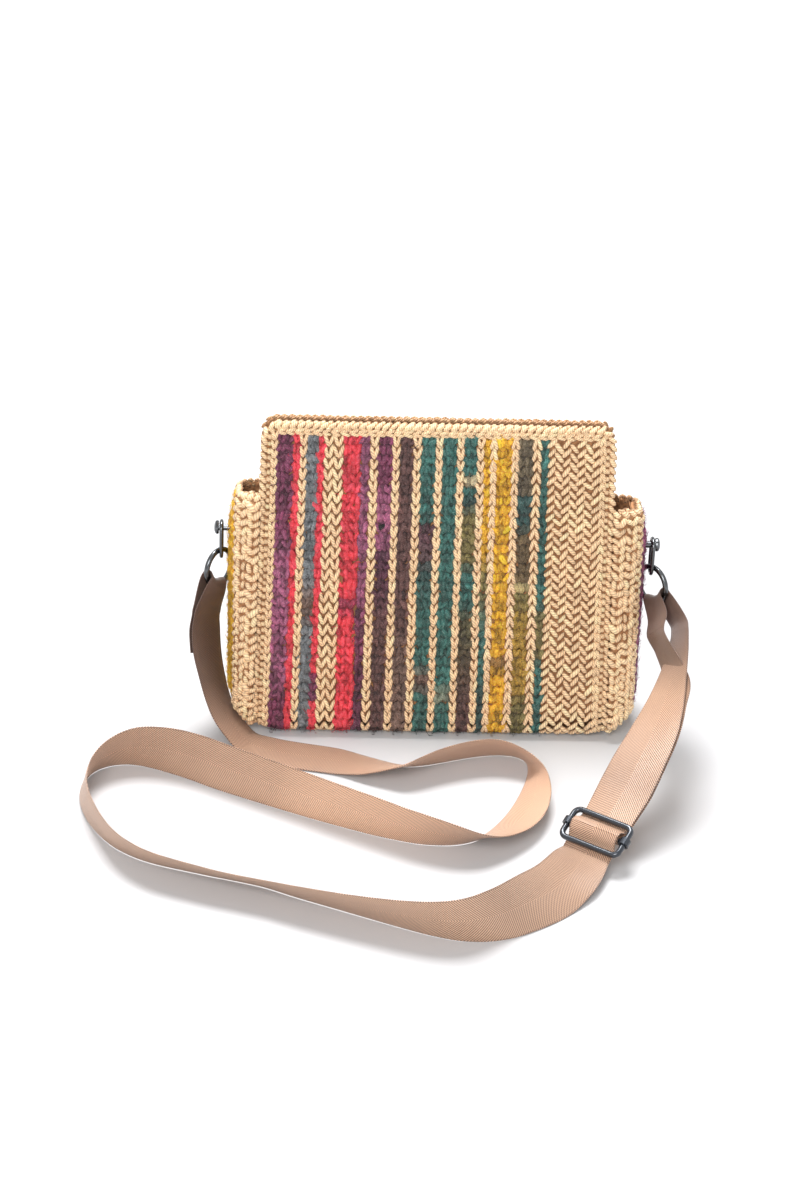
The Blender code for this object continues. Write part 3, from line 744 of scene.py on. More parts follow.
def ply_group() -> bpy.types.NodeTree:
    """The ridges of twisted plies along a leg of yarn, from its own yarn attribute."""
    tree, new = shader_group("PlyTwist", {"Plies": 3.0, "Turns": 9.0}, "Height")
    if new:
        n = Nodes(tree)
        start, end = n.add("NodeGroupInput"), n.add("NodeGroupOutput")
        along, across, up = n.split(n.attribute("yarn", "Vector"))
        turn = n.math("MULTIPLY", n.math("ARCTAN2", up, across), start.outputs["Plies"])
        wave = n.math("SINE", n.math("MULTIPLY_ADD", along, start.outputs["Turns"], turn))
        n.link(n.math("MULTIPLY_ADD", wave, 0.5, 0.5), end.inputs["Height"])
    return tree


def mottle_group() -> bpy.types.NodeTree:
    """Uneven shade at two scales, around 1."""
    tree, new = shader_group("Mottle", {"Scale": 400.0, "Strength": 0.3}, "Factor")
    if new:
        n = Nodes(tree)
        start, end = n.add("NodeGroupInput"), n.add("NodeGroupOutput")
        place = n.own_place()
        fine, broad = n.add("ShaderNodeTexNoise"), n.add("ShaderNodeTexNoise")
        fine.inputs["Detail"].default_value = 4.0
        n.link(place, fine.inputs["Vector"])
        n.link(place, broad.inputs["Vector"])
        n.link(start.outputs["Scale"], fine.inputs["Scale"])
        n.link(n.math("MULTIPLY", start.outputs["Scale"], 0.22), broad.inputs["Scale"])
        both = n.math("SUBTRACT", n.math("ADD", fine.outputs["Fac"], broad.outputs["Fac"]), 1.0)
        n.link(n.math("MULTIPLY_ADD", both, start.outputs["Strength"], 1.0), end.inputs["Factor"])
    return tree


def use_group(n: Nodes, tree: bpy.types.NodeTree, **values: float) -> bpy.types.NodeSocket:
    """Adds a group node with its inputs set and gives its first output."""
    node = n.add("ShaderNodeGroup", node_tree=tree)
    for key, value in values.items():
        node.inputs[key].default_value = value
    return node.outputs[0]


@dataclass(frozen=True)
class Finish:
    """What every finish has.

    Attributes:
        name: The material's name.
        roughness: Its roughness.
    """

    name: str
    roughness: float = 0.8

    def start(self) -> tuple[bpy.types.Material, Nodes, bpy.types.Node]:
        """A new material with its shader."""
        made = bpy.data.materials.new(self.name)
        made.use_nodes = True
        shader = made.node_tree.nodes["Principled BSDF"]
        shader.inputs["Roughness"].default_value = self.roughness
        return made, Nodes(made.node_tree), shader

    def material(self) -> bpy.types.Material:
        """The finished material, made once."""
        return bpy.data.materials.get(self.name) or self.make()

    def make(self) -> bpy.types.Material:
        """Builds the material."""
        raise NotImplementedError

    @staticmethod
    def bump(
        n: Nodes, shader: bpy.types.Node, height: bpy.types.NodeSocket, strength: float, depth: float
    ) -> None:
        """Puts a height into the shader's normal."""
        node = n.add("ShaderNodeBump")
        node.inputs["Strength"].default_value = strength
        node.inputs["Distance"].default_value = depth
        n.link(height, node.inputs["Height"])
        n.link(node.outputs["Normal"], shader.inputs["Normal"])


@dataclass(frozen=True)
class CordFinish(Finish):
    """Smooth twisted cord, tinted stitch by stitch, with painted shade in its ply grooves, under each leg and
    at each leg's sunken ends.
    """

    # Painted shade: the colour that the undersides and sunken ends of the legs are darkened towards.
    painted_shade: Colour = (0.34, 0.19, 0.10)

    def make(self) -> bpy.types.Material:
        made, n, shader = self.start()
        ply = use_group(n, ply_group(), Plies=3.0, Turns=26.0)
        mottle = use_group(n, mottle_group(), Scale=900.0, Strength=0.22)
        # Painted shade: the ply grooves are darker in the colour as well as in the bump.
        shade = n.math("MULTIPLY", n.math("MULTIPLY_ADD", ply, 0.5, 0.72), mottle)
        # Painted shade: each leg is darker underneath and towards its sunken ends.
        along, _, up = n.split(n.attribute("yarn", "Vector"))
        ends = n.math("POWER", n.math("ABSOLUTE", n.math("MULTIPLY_ADD", along, 2.0, -1.0)), 4.0)
        height = n.math("MULTIPLY_ADD", ends, -0.6, n.math("MULTIPLY_ADD", up, 0.8, 0.5))
        lit = n.shaded(n.mix(n.clamped(height, 0.25, 1.0), self.painted_shade, (1.0, 1.0, 1.0)), shade)
        n.link(n.mix(1.0, n.attribute("tint", "Color"), lit, "MULTIPLY"), shader.inputs["Base Color"])
        shader.inputs["Sheen Weight"].default_value = 0.15
        self.bump(n, shader, ply, 0.7, 0.0005)
        return made


@dataclass(frozen=True)
class WoolFinish(Finish):
    """Brushed wool: a fibrous surface whose brightest hairs are paled by a painted highlight."""

    # Painted highlight: the pale colour that the brightest hairs are mixed towards.
    hair: Colour = (0.62, 0.46, 0.42)

    def make(self) -> bpy.types.Material:
        made, n, shader = self.start()
        hairs = n.add("ShaderNodeTexNoise")
        for key, value in (("Scale", 1500.0), ("Detail", 5.0), ("Distortion", 1.6)):
            hairs.inputs[key].default_value = value
        n.link(n.own_place(), hairs.inputs["Vector"])
        sharp = n.math("MULTIPLY_ADD", hairs.outputs["Fac"], 3.0, -1.05)
        mottle = use_group(n, mottle_group(), Scale=420.0, Strength=0.9)
        shade = n.math("MULTIPLY", n.math("MULTIPLY_ADD", sharp, 2.4, 0.66), mottle)
        # Painted highlight: the brightest flecks of the hair noise are paled.
        pale = n.clamped(n.math("MULTIPLY_ADD", sharp, 1.1, -0.62), 0.0, 0.4)
        dyed_hair = n.shaded(n.attribute("tint", "Color"), shade)
        n.link(n.mix(pale, dyed_hair, self.hair), shader.inputs["Base Color"])
        shader.inputs["Sheen Weight"].default_value = 0.12
        shader.inputs["Sheen Roughness"].default_value = 0.6
        self.bump(n, shader, sharp, 1.0, 0.0008)
        return made


@dataclass(frozen=True)
class KnitFinish(Finish):
    """The fabric under the stitches and inside the bag, tinted darker than the yarn and darker still in its
    dimples as painted shade between the stitches.
    """

    # Painted shade: a darker tint than the yarn's, so the gaps between stitches read dark.
    tint: Colour = (0.4, 0.2, 0.1)

    def make(self) -> bpy.types.Material:
        made, n, shader = self.start()
        x, _, z = n.split(n.own_place())
        rows = n.math("SINE", n.math("MULTIPLY", z, 2 * pi / GROUND_ROW))
        columns = n.math("SINE", n.math("MULTIPLY", x, 2 * pi / GROUND_COLUMN))
        height = n.math("MULTIPLY_ADD", n.math("MULTIPLY", rows, columns), 0.5, 0.5)
        mottle = use_group(n, mottle_group(), Scale=600.0, Strength=0.4)
        # Painted shade: the dimples are darker in the colour as well as in the bump.
        shade = n.math("MULTIPLY", n.math("MULTIPLY_ADD", height, 0.5, 0.6), mottle)
        n.link(n.shaded(self.tint, shade), shader.inputs["Base Color"])
        self.bump(n, shader, height, 0.8, 0.001)
        return made


@dataclass(frozen=True)
class WebbingFinish(Finish):
    """Satin webbing: twill lines that meet in the middle, and a toothed edge, with painted shade in the
    grooves and painted shade and sheen along its length.

    Attributes:
        tint: Its colour where it is light.
        dark: Its colour in the painted shade of the grooves and where painted shade and sheen darken it.
        pitch: The distance between twill lines.
        thread: The distance between warp threads.
        edge_from: How far from the middle the toothed edge starts.
        tooth: The distance between its teeth.
    """

    tint: Colour = (0.6, 0.33, 0.18)
    dark: Colour = (0.2, 0.1, 0.06)
    pitch: float = 0.00145
    thread: float = 0.0009
    edge_from: float = 0.0152
    tooth: float = 0.0016

    def make(self) -> bpy.types.Material:
        made, n, shader = self.start()
        along, wide, _ = n.split(n.attribute("weave", "Vector"))
        across = n.math("ABSOLUTE", wide)
        slanted = n.math("MULTIPLY_ADD", across, 0.85, along)
        lines = n.math("SINE", n.math("MULTIPLY", slanted, 2 * pi / self.pitch))
        threads = n.math("SINE", n.math("MULTIPLY", across, 2 * pi / self.thread))
        # Painted shade: the twill grooves are darker in the colour as well as in the bump.
        height = n.math("MULTIPLY_ADD", n.math("MULTIPLY_ADD", threads, 0.3, lines), 0.38, 0.5)
        mottle = use_group(n, mottle_group(), Scale=300.0, Strength=0.12)
        edge = n.math("GREATER_THAN", across, self.edge_from)
        teeth = n.math("GREATER_THAN", n.math("SINE", n.math("MULTIPLY", along, 2 * pi / self.tooth)), 0.1)
        notches = n.math("MULTIPLY", n.math("MULTIPLY", edge, teeth), 0.6)
        shade = n.math("MULTIPLY", n.math("MULTIPLY_ADD", height, 1.5, 0.05), mottle)
        # Painted shade and sheen: the strap's stored lightness darkens it where its satin face turned from
        # the light.
        shade = n.math("MULTIPLY", shade, n.attribute("wear", "Fac"))
        shade = n.math("MULTIPLY", shade, n.math("SUBTRACT", 1.0, notches))
        n.link(n.mix(shade, self.dark, self.tint), shader.inputs["Base Color"])
        shader.inputs["Sheen Weight"].default_value = 0.1
        self.bump(n, shader, height, 0.55, 0.0003)
        return made


@dataclass(frozen=True)
class MetalFinish(Finish):
    """Polished metal or glossy enamel, faintly worn.

    Attributes:
        tint: Its colour.
        metallic: 1 for bare metal.
        coat: How strong its clear coat is.
    """

    tint: Colour = (0.1, 0.1, 0.1)
    metallic: float = 1.0
    coat: float = 0.0

    def make(self) -> bpy.types.Material:
        made, n, shader = self.start()
        mottle = use_group(n, mottle_group(), Scale=260.0, Strength=0.5)
        shader.inputs["Metallic"].default_value = self.metallic
        shader.inputs["Coat Weight"].default_value = self.coat
        n.link(n.shaded(self.tint, n.math("MULTIPLY_ADD", mottle, 0.3, 0.7)), shader.inputs["Base Color"])
        n.link(n.math("MULTIPLY", mottle, self.roughness), shader.inputs["Roughness"])
        return made


@dataclass(frozen=True)
class FloorFinish(Finish):
    """A white studio floor that keeps shadows, and glows from some way off the bag on.

    Attributes:
        glow: How much it glows under the bag.
        clear: Where the glow starts to rise and where it is full.
    """

    glow: float = 0.06
    clear: tuple[float, float] = (0.32, 0.8)

    def make(self) -> bpy.types.Material:
        made, n, shader = self.start()
        shader.inputs["Base Color"].default_value = (0.56, 0.56, 0.57, 1)
        shader.inputs["Emission Color"].default_value = (1, 1, 1, 1)
        reach = n.add("ShaderNodeVectorMath", operation="LENGTH")
        n.link(n.own_place(), reach.inputs[0])
        spread = n.add("ShaderNodeMapRange", interpolation_type="SMOOTHSTEP")
        near, far = self.clear
        for key, value in (("From Min", near), ("From Max", far), ("To Min", self.glow), ("To Max", 1.0)):
            spread.inputs[key].default_value = value
        n.link(reach.outputs["Value"], spread.inputs["Value"])
        n.link(n.math("MULTIPLY", n.seen(), spread.outputs[0]), shader.inputs["Emission Strength"])
        return made


CORD = CordFinish("cord_yarn", 0.62)
WOOL = WoolFinish("wool_yarn", 0.95)
# The knit ground is tinted darker than the yarn as painted shade between the stitches.
KNIT = KnitFinish("knit_ground", 0.9, tint=srgb(176, 126, 86))
# Painted shade and sheen: the dark colour that the webbing is mixed towards in its grooves and dim stretches.
WEBBING = WebbingFinish("satin_twill", 0.42, tint=srgb(246, 200, 166), dark=srgb(80, 60, 54))
GUNMETAL = MetalFinish("dark_nickel", 0.22, tint=srgb(92, 94, 96))
ENAMEL = MetalFinish("blue_black_enamel", 0.25, tint=srgb(45, 50, 58), metallic=0.5, coat=0.6)
FLOOR = FloorFinish("studio_floor", 0.9)


# Rows of the panel


PLUM, RED, GREY, MAUVE = srgb(126, 56, 88), srgb(255, 68, 84), srgb(122, 128, 132), srgb(164, 90, 124)
BROWN, TEAL, OLIVE, GOLD = srgb(100, 68, 64), srgb(56, 112, 104), srgb(128, 116, 66), srgb(240, 182, 40)
DARK_TEAL, DARK_PLUM, GREY_BROWN = srgb(52, 88, 84), srgb(92, 42, 66), srgb(124, 98, 86)
CREAM, BEIGE = srgb(206, 190, 152), srgb(255, 218, 173)


@dataclass(frozen=True)
class Variegated:
    """Yarn whose colour changes along its length.

    Attributes:
        stops: The (distance from the top, colour) where it changes.
    """

    stops: tuple[tuple[float, Colour], ...]

    def at(self, b: float) -> Colour:
        """The colour at a distance from the front's top, or as far from the back's."""
        b = min(b, 2 * WRAP_WALL.length - b)
        for (near, first), (far, second) in zip(self.stops, self.stops[1:]):
            if b <= far:
                t = min(1.0, max(0.0, (b - near) / (far - near)))
                t = t * t * (3 - 2 * t)
                return tuple(p + (q - p) * t for p, q in zip(first, second))
        return self.stops[-1][1]

    def shadow(self, b: float) -> Colour:
        """The darker colour between the stitches, at the same distance."""
        return tuple(c * 0.45 for c in self.at(b))


def plain(colour: Colour) -> Variegated:
    """Yarn of one colour."""
    return Variegated(((0.0, colour),))


def dyed(*stops: tuple[int, Colour]) -> Variegated:
    """Yarn that changes colour at the given millimetres from the top."""
    return Variegated(tuple((mm / 1000, colour) for mm, colour in stops))


@dataclass(frozen=True)
class Row:
    """A row that runs all round the wrap.

    Attributes:
        name: The name of its solid in the CAD model.
        slot: Its material slot; not used.
        width: Its width.
        yarn: Its colours.
        lean: How its stitches lie.
    """

    name: str
    slot: str
    width: float
    yarn: Variegated = plain(BEIGE)
    lean: Lean = Lean.DOWN

    @property
    def is_cord(self) -> bool:
        """Whether it is one of the cord chains."""
        return self.name.startswith("chain")


ROWS = (
    Row("wool_plum", "plum", 0.0102, dyed(
        (0, PLUM), (62, PLUM), (80, MAUVE), (150, MAUVE), (172, PLUM), (185, PLUM))),
    Row("wool_red_narrow_1", "red", 0.0033, plain(RED)),
    Row("chain_1", "cord", 0.0045),
    Row("wool_grey", "grey", 0.0066, dyed((0, GREY), (90, GREY), (110, GREY_BROWN), (128, GREY))),
    Row("wool_red_narrow_2", "red", 0.0036, dyed((0, RED), (148, RED), (156, PLUM), (168, PLUM), (174, RED))),
    Row("chain_2", "cord", 0.0058),
    Row("chain_3", "cord", 0.0059),
    Row("wool_red", "red", 0.0105, dyed((0, RED), (100, RED), (109, srgb(160, 50, 80)), (120, RED))),
    Row("wool_mauve", "mauve", 0.0057, dyed((0, MAUVE), (90, MAUVE), (135, PLUM), (170, DARK_PLUM))),
    Row("chain_4", "cord", 0.0048),
    Row("wool_plum_brown", "mauve", 0.0087, dyed(
        (0, PLUM), (32, PLUM), (42, MAUVE), (66, MAUVE), (82, DARK_PLUM), (130, BROWN))),
    Row("chain_5", "cord", 0.0042),
    Row("wool_brown", "brown", 0.0082, dyed((0, BROWN), (110, BROWN), (150, GREY_BROWN), (180, GREY_BROWN))),
    Row("chain_6", "cord", 0.0048),
    Row("wool_teal_1", "teal", 0.0086, dyed(
        (0, TEAL), (54, TEAL), (62, srgb(100, 62, 72)), (80, srgb(92, 70, 72)), (88, DARK_TEAL),
        (118, TEAL), (142, TEAL), (156, GREY_BROWN), (168, TEAL))),
    Row("chain_7", "cord", 0.0042),
    Row("wool_teal_2", "teal", 0.0090, dyed((0, TEAL), (156, TEAL), (165, srgb(150, 160, 138)), (174, TEAL))),
    Row("chain_8", "cord", 0.0040),
    Row("wool_teal_olive", "olive", 0.0080, dyed(
        (0, TEAL), (26, TEAL), (32, CREAM), (38, TEAL), (46, DARK_TEAL), (54, OLIVE), (80, OLIVE), (88, TEAL),
        (104, TEAL), (118, srgb(84, 80, 52)), (185, BROWN))),
    Row("chain_9", "cord", 0.0042),
    Row("wool_yellow_narrow", "yellow", 0.0039, dyed(
        (0, GOLD), (70, GOLD), (92, OLIVE), (130, TEAL), (170, DARK_TEAL))),
    Row("chain_10", "cord", 0.0036, lean=Lean.UP),
    Row("wool_yellow", "yellow", 0.0090, dyed(
        (0, GOLD), (136, GOLD), (144, srgb(150, 112, 62)), (152, GOLD))),
    Row("chain_11", "cord", 0.0044, lean=Lean.UP),
    Row("wool_olive", "olive", 0.0082, dyed(
        (0, srgb(108, 96, 74)), (38, srgb(108, 96, 74)), (44, DARK_TEAL), (58, DARK_TEAL),
        (66, srgb(110, 92, 62)), (90, srgb(112, 92, 60)), (96, srgb(178, 160, 110)), (103, OLIVE),
        (118, srgb(180, 144, 54)), (158, srgb(176, 140, 52)), (170, OLIVE))),
    Row("chain_12", "cord", 0.0055, lean=Lean.UP),
    Row("wool_teal_narrow", "teal", 0.0039, dyed(
        (0, TEAL), (106, TEAL), (116, OLIVE), (136, OLIVE), (146, TEAL))),
)


def evenly(start: float, end: float, pitch: float) -> list[float]:
    """Places a pitch apart, centred between two ends."""
    count = max(1, int((end - start) / pitch))
    step = (end - start) / count
    return [start + step * (i + 0.5) for i in range(count)]


def trace(points: Sequence[tuple[float, float]], pitch: float) -> list[tuple[float, float, float]]:
    """Places a pitch apart along a line on a patch, each with its heading.

    Args:
        points: The line's points, (across, along).
        pitch: The distance from place to place.

    Returns:
        The (across, along, heading) of each place.
    """
    line = np.array(points, float)
    steps = np.linalg.norm(np.diff(line, axis=0), axis=1)
    reach = np.concatenate([[0], np.cumsum(steps)])
    found = []
    for distance in evenly(0, reach[-1], pitch):
        i = min(int(np.searchsorted(reach, distance, side="right")) - 1, len(steps) - 1)
        t = (distance - reach[i]) / steps[i]
        place, run = line[i] * (1 - t) + line[i + 1] * t, line[i + 1] - line[i]
        found.append((place[0], place[1], atan2(run[0], run[1])))
    return found


def on_the_back(route: Iterable[tuple[float, float, float]]) -> list[tuple[float, float, float]]:
    """The same places on the back of the wrap."""
    return [(a, 2 * WRAP_WALL.length - b, pi - heading) for a, b, heading in route]


@dataclass
class Panel:
    """The stitched wrap: wool rows, cord chains, the slanted field and the edging.

    Attributes:
        cord_legs: The legs of cord.
        wool_legs: The legs of wool.
        start: How far below the top the rows start.
        wool_pitch: The distance from stitch to stitch in a wool row.
        cord_pitch: The same in a cord chain.
        beige: The colour of the cord.
    """

    cord_legs: bpy.types.Collection
    wool_legs: bpy.types.Collection
    start: float = SIZE.border_top + 0.0008
    wool_pitch: float = 0.0058
    cord_pitch: float = 0.0067
    beige: Variegated = plain(BEIGE)

    def round_trip(self, a: float, pitch: float) -> list[tuple[float, float, float]]:
        """Places down the front, under the bottom and up the back."""
        return [(a, b, 0.0) for b in evenly(self.start, 2 * WRAP_WALL.length - self.start, pitch)]

    def lay_row(self, row: Row, middle: float, stitches: Stitches) -> None:
        """Lays one row's stitches.

        Args:
            row: The row.
            middle: Its middle across the panel.
            stitches: Where they go.
        """
        if row.is_cord:
            lane = Lane(row.lean, row.width, self.cord_pitch, self.cord_pitch * 1.30, 0.0024, 0.0012, 0.07)
            stitches.lay(WRAP, self.round_trip(middle, self.cord_pitch), lane, row.yarn.at)
            return
        bed = Lane(Lean.BEAD, row.width, 0.0085, row.width * 1.05, 0.0030, -0.0006, 0.04, bed=0.0115)
        stitches.lay(WRAP, self.round_trip(middle, bed.pitch), bed, row.yarn.shadow)
        columns, pitch = max(1, round(row.width / 0.0044)), self.wool_pitch
        width = row.width / columns
        for i in range(columns):
            across = middle + (i - (columns - 1) / 2) * width
            lane = Lane(row.lean, width, pitch, pitch * 1.30, 0.0030, 0.0006, 0.36, fade=0.22)
            stitches.lay(WRAP, self.round_trip(across, pitch), lane, row.yarn.at)

    def rows(self) -> list[bpy.types.Object]:
        """Makes the wool rows, each a piece, and the cord chains together."""
        made, chains = [], Stitches(seed=7)
        left = -SIZE.panel_half + SIZE.border_side
        for index, row in enumerate(ROWS):
            middle = left + row.width / 2
            left += row.width
            if row.is_cord:
                self.lay_row(row, middle, chains)
                continue
            stitches = Stitches(seed=20 + index)
            self.lay_row(row, middle, stitches)
            piece = stitches.build("yarn_" + row.name[5:], self.wool_legs, WOOL)
            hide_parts(row.name)
            made.append(piece)
        piece = chains.build("cord_chains", self.cord_legs, CORD)
        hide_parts(*(row.name for row in ROWS if row.is_cord))
        made.append(piece)
        made.append(self.field(left))
        made.append(self.edging())
        for piece in made:
            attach(piece, "bag")
        return made

    def field(self, left: float) -> bpy.types.Object:
        """The field of slanted stitches that turn about from column to column."""
        stitches = Stitches(seed=9)
        right = SIZE.panel_half - SIZE.border_side
        columns = 7
        step = (right - left) / columns
        for i in range(columns):
            lean = Lean.FORWARD if i % 2 else Lean.BACKWARD
            lane = Lane(lean, step, 0.0056, 0.0084, 0.0028, 0.0010, 0.10, 0.74)
            route = self.round_trip(left + (i + 0.5) * step, lane.pitch)
            shift = lane.pitch / 2 * (i % 2)
            stitches.lay(WRAP, [(a, b + shift, h) for a, b, h in route[:-1]], lane, self.beige.at)
        piece = stitches.build("braid_field", self.cord_legs, CORD)
        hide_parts("braid_panel")
        return piece

    def edge_line(self, inset: float, drop: float) -> list[tuple[float, float]]:
        """A line up one side of the front, across its top and down the other side.

        Args:
            inset: How far inside the sides it runs.
            drop: How far below the top.

        Returns:
            Its points on the wrap.
        """
        edge, bend = SIZE.panel_half - inset, max(0.0004, SIZE.edge_corner - inset)
        turn = [
            (-edge + bend * (1 - cos(radians(a))), drop + bend * (1 - sin(radians(a))))
            for a in range(0, 91, 10)
        ]
        down = [(-edge, b) for b in np.linspace(WRAP_WALL.length, drop + bend, 24)[:-1]]
        half = down + turn
        return half + [(-a, b) for a, b in reversed(half)]

    def edging(self) -> bpy.types.Object:
        """The chains that edge the front and the back, and the slip chain over the rows' tops."""
        stitches = Stitches(seed=11)
        lanes = (
            (0.0013, 0.0006, Lane(Lean.FORWARD, 0.0034, 0.0046, 0.0066, 0.0029, 0.0007, 0.07, 0.62)),
            (0.0044, 0.0025, Lane(Lean.BEAD, 0.0032, 0.0042, 0.0034, 0.0031, 0.0004, 0.14)),
            (0.0074, 0.0044, Lane(Lean.UP, 0.0036, 0.0054, 0.0068, 0.0023, 0.0010, 0.06)),
        )
        for inset, drop, lane in lanes:
            route = trace(self.edge_line(inset, drop), lane.pitch)
            stitches.lay(WRAP, route, lane, self.beige.at)
            stitches.lay(WRAP, on_the_back(route), lane, self.beige.at)
        rim = Lane(Lean.FORWARD, 0.0034, 0.0044, 0.0064, 0.0030, -0.0016, 0.08, 0.5)
        reach = SIZE.panel_half - SIZE.edge_corner * 0.6
        route = [(a, 0.0002, pi / 2) for a in evenly(-reach, reach, rim.pitch)]
        stitches.lay(WRAP, route, rim, self.beige.at)
        stitches.lay(WRAP, on_the_back(route), rim, self.beige.at)
        piece = stitches.build("edge_border", self.cord_legs, CORD)
        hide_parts("border_front", "border_back")
        return piece


@dataclass
class Gusset:
    """One stitched side wall: cord columns round its corner and a wool middle.

    Attributes:
        side: -1 for left and 1 for right.
        columns: The places of the cord columns across the corner.
        yarn: The wool's colours.
        slot: The material slot of the wool; not used.
        cord_legs: The legs of cord.
        wool_legs: The legs of wool.
    """

    side: int
    columns: tuple[float, ...]
    yarn: Variegated
    slot: str
    cord_legs: bpy.types.Collection
    wool_legs: bpy.types.Collection

    @property
    def label(self) -> str:
        """The side's name."""
        return "left" if self.side < 0 else "right"

    def build(self) -> list[bpy.types.Object]:
        """Makes the cord columns and the wool middle."""
        cords, patch = Stitches(seed=31), gusset_patch(self.side)
        span = 2 * Wall(0, SIZE.top(self.side)).length
        for i, a in enumerate(self.columns):
            lean = Lean.BACKWARD if i % 2 else Lean.FORWARD
            lane = Lane(lean, 0.0040, 0.0054, 0.0070, 0.0033, 0.0002, 0.28, 0.6)
            places = evenly(0.0015, span - 0.0015, lane.pitch)
            cords.lay(patch, [(a, b, 0.0) for b in places], lane, plain(BEIGE).at)
        rim = Lane(Lean.BACKWARD, 0.0040, 0.0046, 0.0062, 0.0036, -0.0012, 0.08)
        corner = [(0.08 + 0.21 * i, 0.0, pi / 2) for i in range(5)]
        cords.lay(patch, corner + [(a, span, pi / 2) for a, _, _ in corner], rim, plain(BEIGE).at)
        cords.lay(side_patch(self.side), [(a, 0.0, pi / 2) for a in (-0.7, 0.0, 0.7)], rim, plain(BEIGE).at)
        for depth in (0.0046, 0.0082):
            fold = replace(rim, lift=-depth)
            cords.lay(patch, [(a, 0.001, pi / 2) for a, _, _ in corner], fold, plain(BEIGE).at)
        cord = cords.build("gusset_cord_" + self.label, self.cord_legs, CORD)
        wools, middle = Stitches(seed=37), side_patch(self.side)
        wall = Wall(SIZE.gusset_round + WOOL_INSET, SIZE.top(self.side))
        lane = Lane(Lean.DOWN, 0.0046, 0.0058, 0.0076, 0.0028, -0.0002, 0.2, fade=0.15)
        for a in (-0.8, -0.4, 0.0, 0.4, 0.8):
            route = [(a, b, 0.0) for b in evenly(0.001, wall.straight + wall.arc * 0.7, lane.pitch)]
            wools.lay(middle, route, lane, self.yarn.at)
        wool = wools.build("gusset_yarn_" + self.label, self.wool_legs, WOOL)
        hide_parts("gusset_wool_" + self.label)
        return [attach(cord, "bag"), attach(wool, "bag")]


@dataclass
class Ground:
    """The knitted fabric that the stitches stand on.

    Attributes:
        node: The CAD node whose shape it has.
        name: The piece's name.
        cuts: How many times its long edges are halved at most.
        longest: The length from which an edge is halved.
        depth: How deep its dimples are.
    """

    node: str
    name: str
    cuts: int = 5
    longest: float = 0.0055
    depth: float = 0.0005

    def moved(self, x: float, z: float) -> float:
        """Where a point of the solid lies across the bag, since the panel hangs a little to the left."""
        shift = SIZE.panel_shift - SIZE.solid_shift
        side = {"gusset_left": -1, "gusset_right": 1}.get(self.node, 0)
        if not side:
            return x + shift
        solid_end = SIZE.solid_shift * side + SIZE.panel_half * SIZE.panel_scale(z)
        ratio = (SIZE.width / 2 - solid_end - shift * side) / (SIZE.width / 2 - solid_end)
        return side * (SIZE.width / 2 - (SIZE.width / 2 - abs(x)) * ratio)

    def build(self) -> bpy.types.Object:
        """Makes the fabric, with dimples where its stitches sink."""
        mesh = bmesh.new()
        mesh.from_mesh(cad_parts[self.node].data)
        bmesh.ops.remove_doubles(mesh, verts=mesh.verts, dist=1e-6)
        bmesh.ops.dissolve_limit(mesh, angle_limit=0.004, verts=mesh.verts, edges=mesh.edges)
        bmesh.ops.triangulate(mesh, faces=mesh.faces)
        for _ in range(self.cuts):
            long = [edge for edge in mesh.edges if edge.calc_length() > self.longest]
            if not long:
                break
            bmesh.ops.subdivide_edges(mesh, edges=long, cuts=1)
            bmesh.ops.triangulate(mesh, faces=mesh.faces)
        mesh.normal_update()
        for vert in mesh.verts:
            vert.co.x = self.moved(vert.co.x, vert.co.z)
            wave = sin(vert.co.z * 2 * pi / GROUND_ROW) * sin(vert.co.x * 2 * pi / GROUND_COLUMN)
            vert.co -= vert.normal * self.depth * (0.5 + 0.5 * wave)
        data = mesh_data(self.name, mesh)
        data.shade_smooth()
        data.materials.append(KNIT.material())
        obj = add_object(self.name, data)
        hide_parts(self.node)
        log.info("%s: %d faces", self.name, len(data.polygons))
        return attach(obj, "bag")


# Strap


STRAP_WIDTH, STRAP_THICKNESS, STRAP_AT_BAR = 0.032, 0.0013, 0.0306
CLEARANCE = 0.0003
LINK_WIRE, LINK_WIDTH, LINK_LENGTH, LINK_STAND_OFF = 0.00115, 0.0128, 0.0240, 0.0076
RING_WIRE, RING_RADIUS, RING_SHIFT = 0.00165, 0.0112, 0.0030
RING_TURN, RING_SWING = radians(52), radians(35)
POST_RADIUS = 0.0020
FRAME_WIRE, FRAME_LENGTH, FRAME_HEIGHT, FRAME_CORNER, BAR_RADIUS = 0.0017, 0.0410, 0.0230, 0.0055, 0.0014

ADJUSTER_CENTRE = Vector((0.0846, -0.1712, 0.0168))
ADJUSTER_ALONG = Vector((0.50, 0.70, 0.46)).normalized()
ADJUSTER_ACROSS = Vector((0.76, -0.65, 0.02)).normalized()

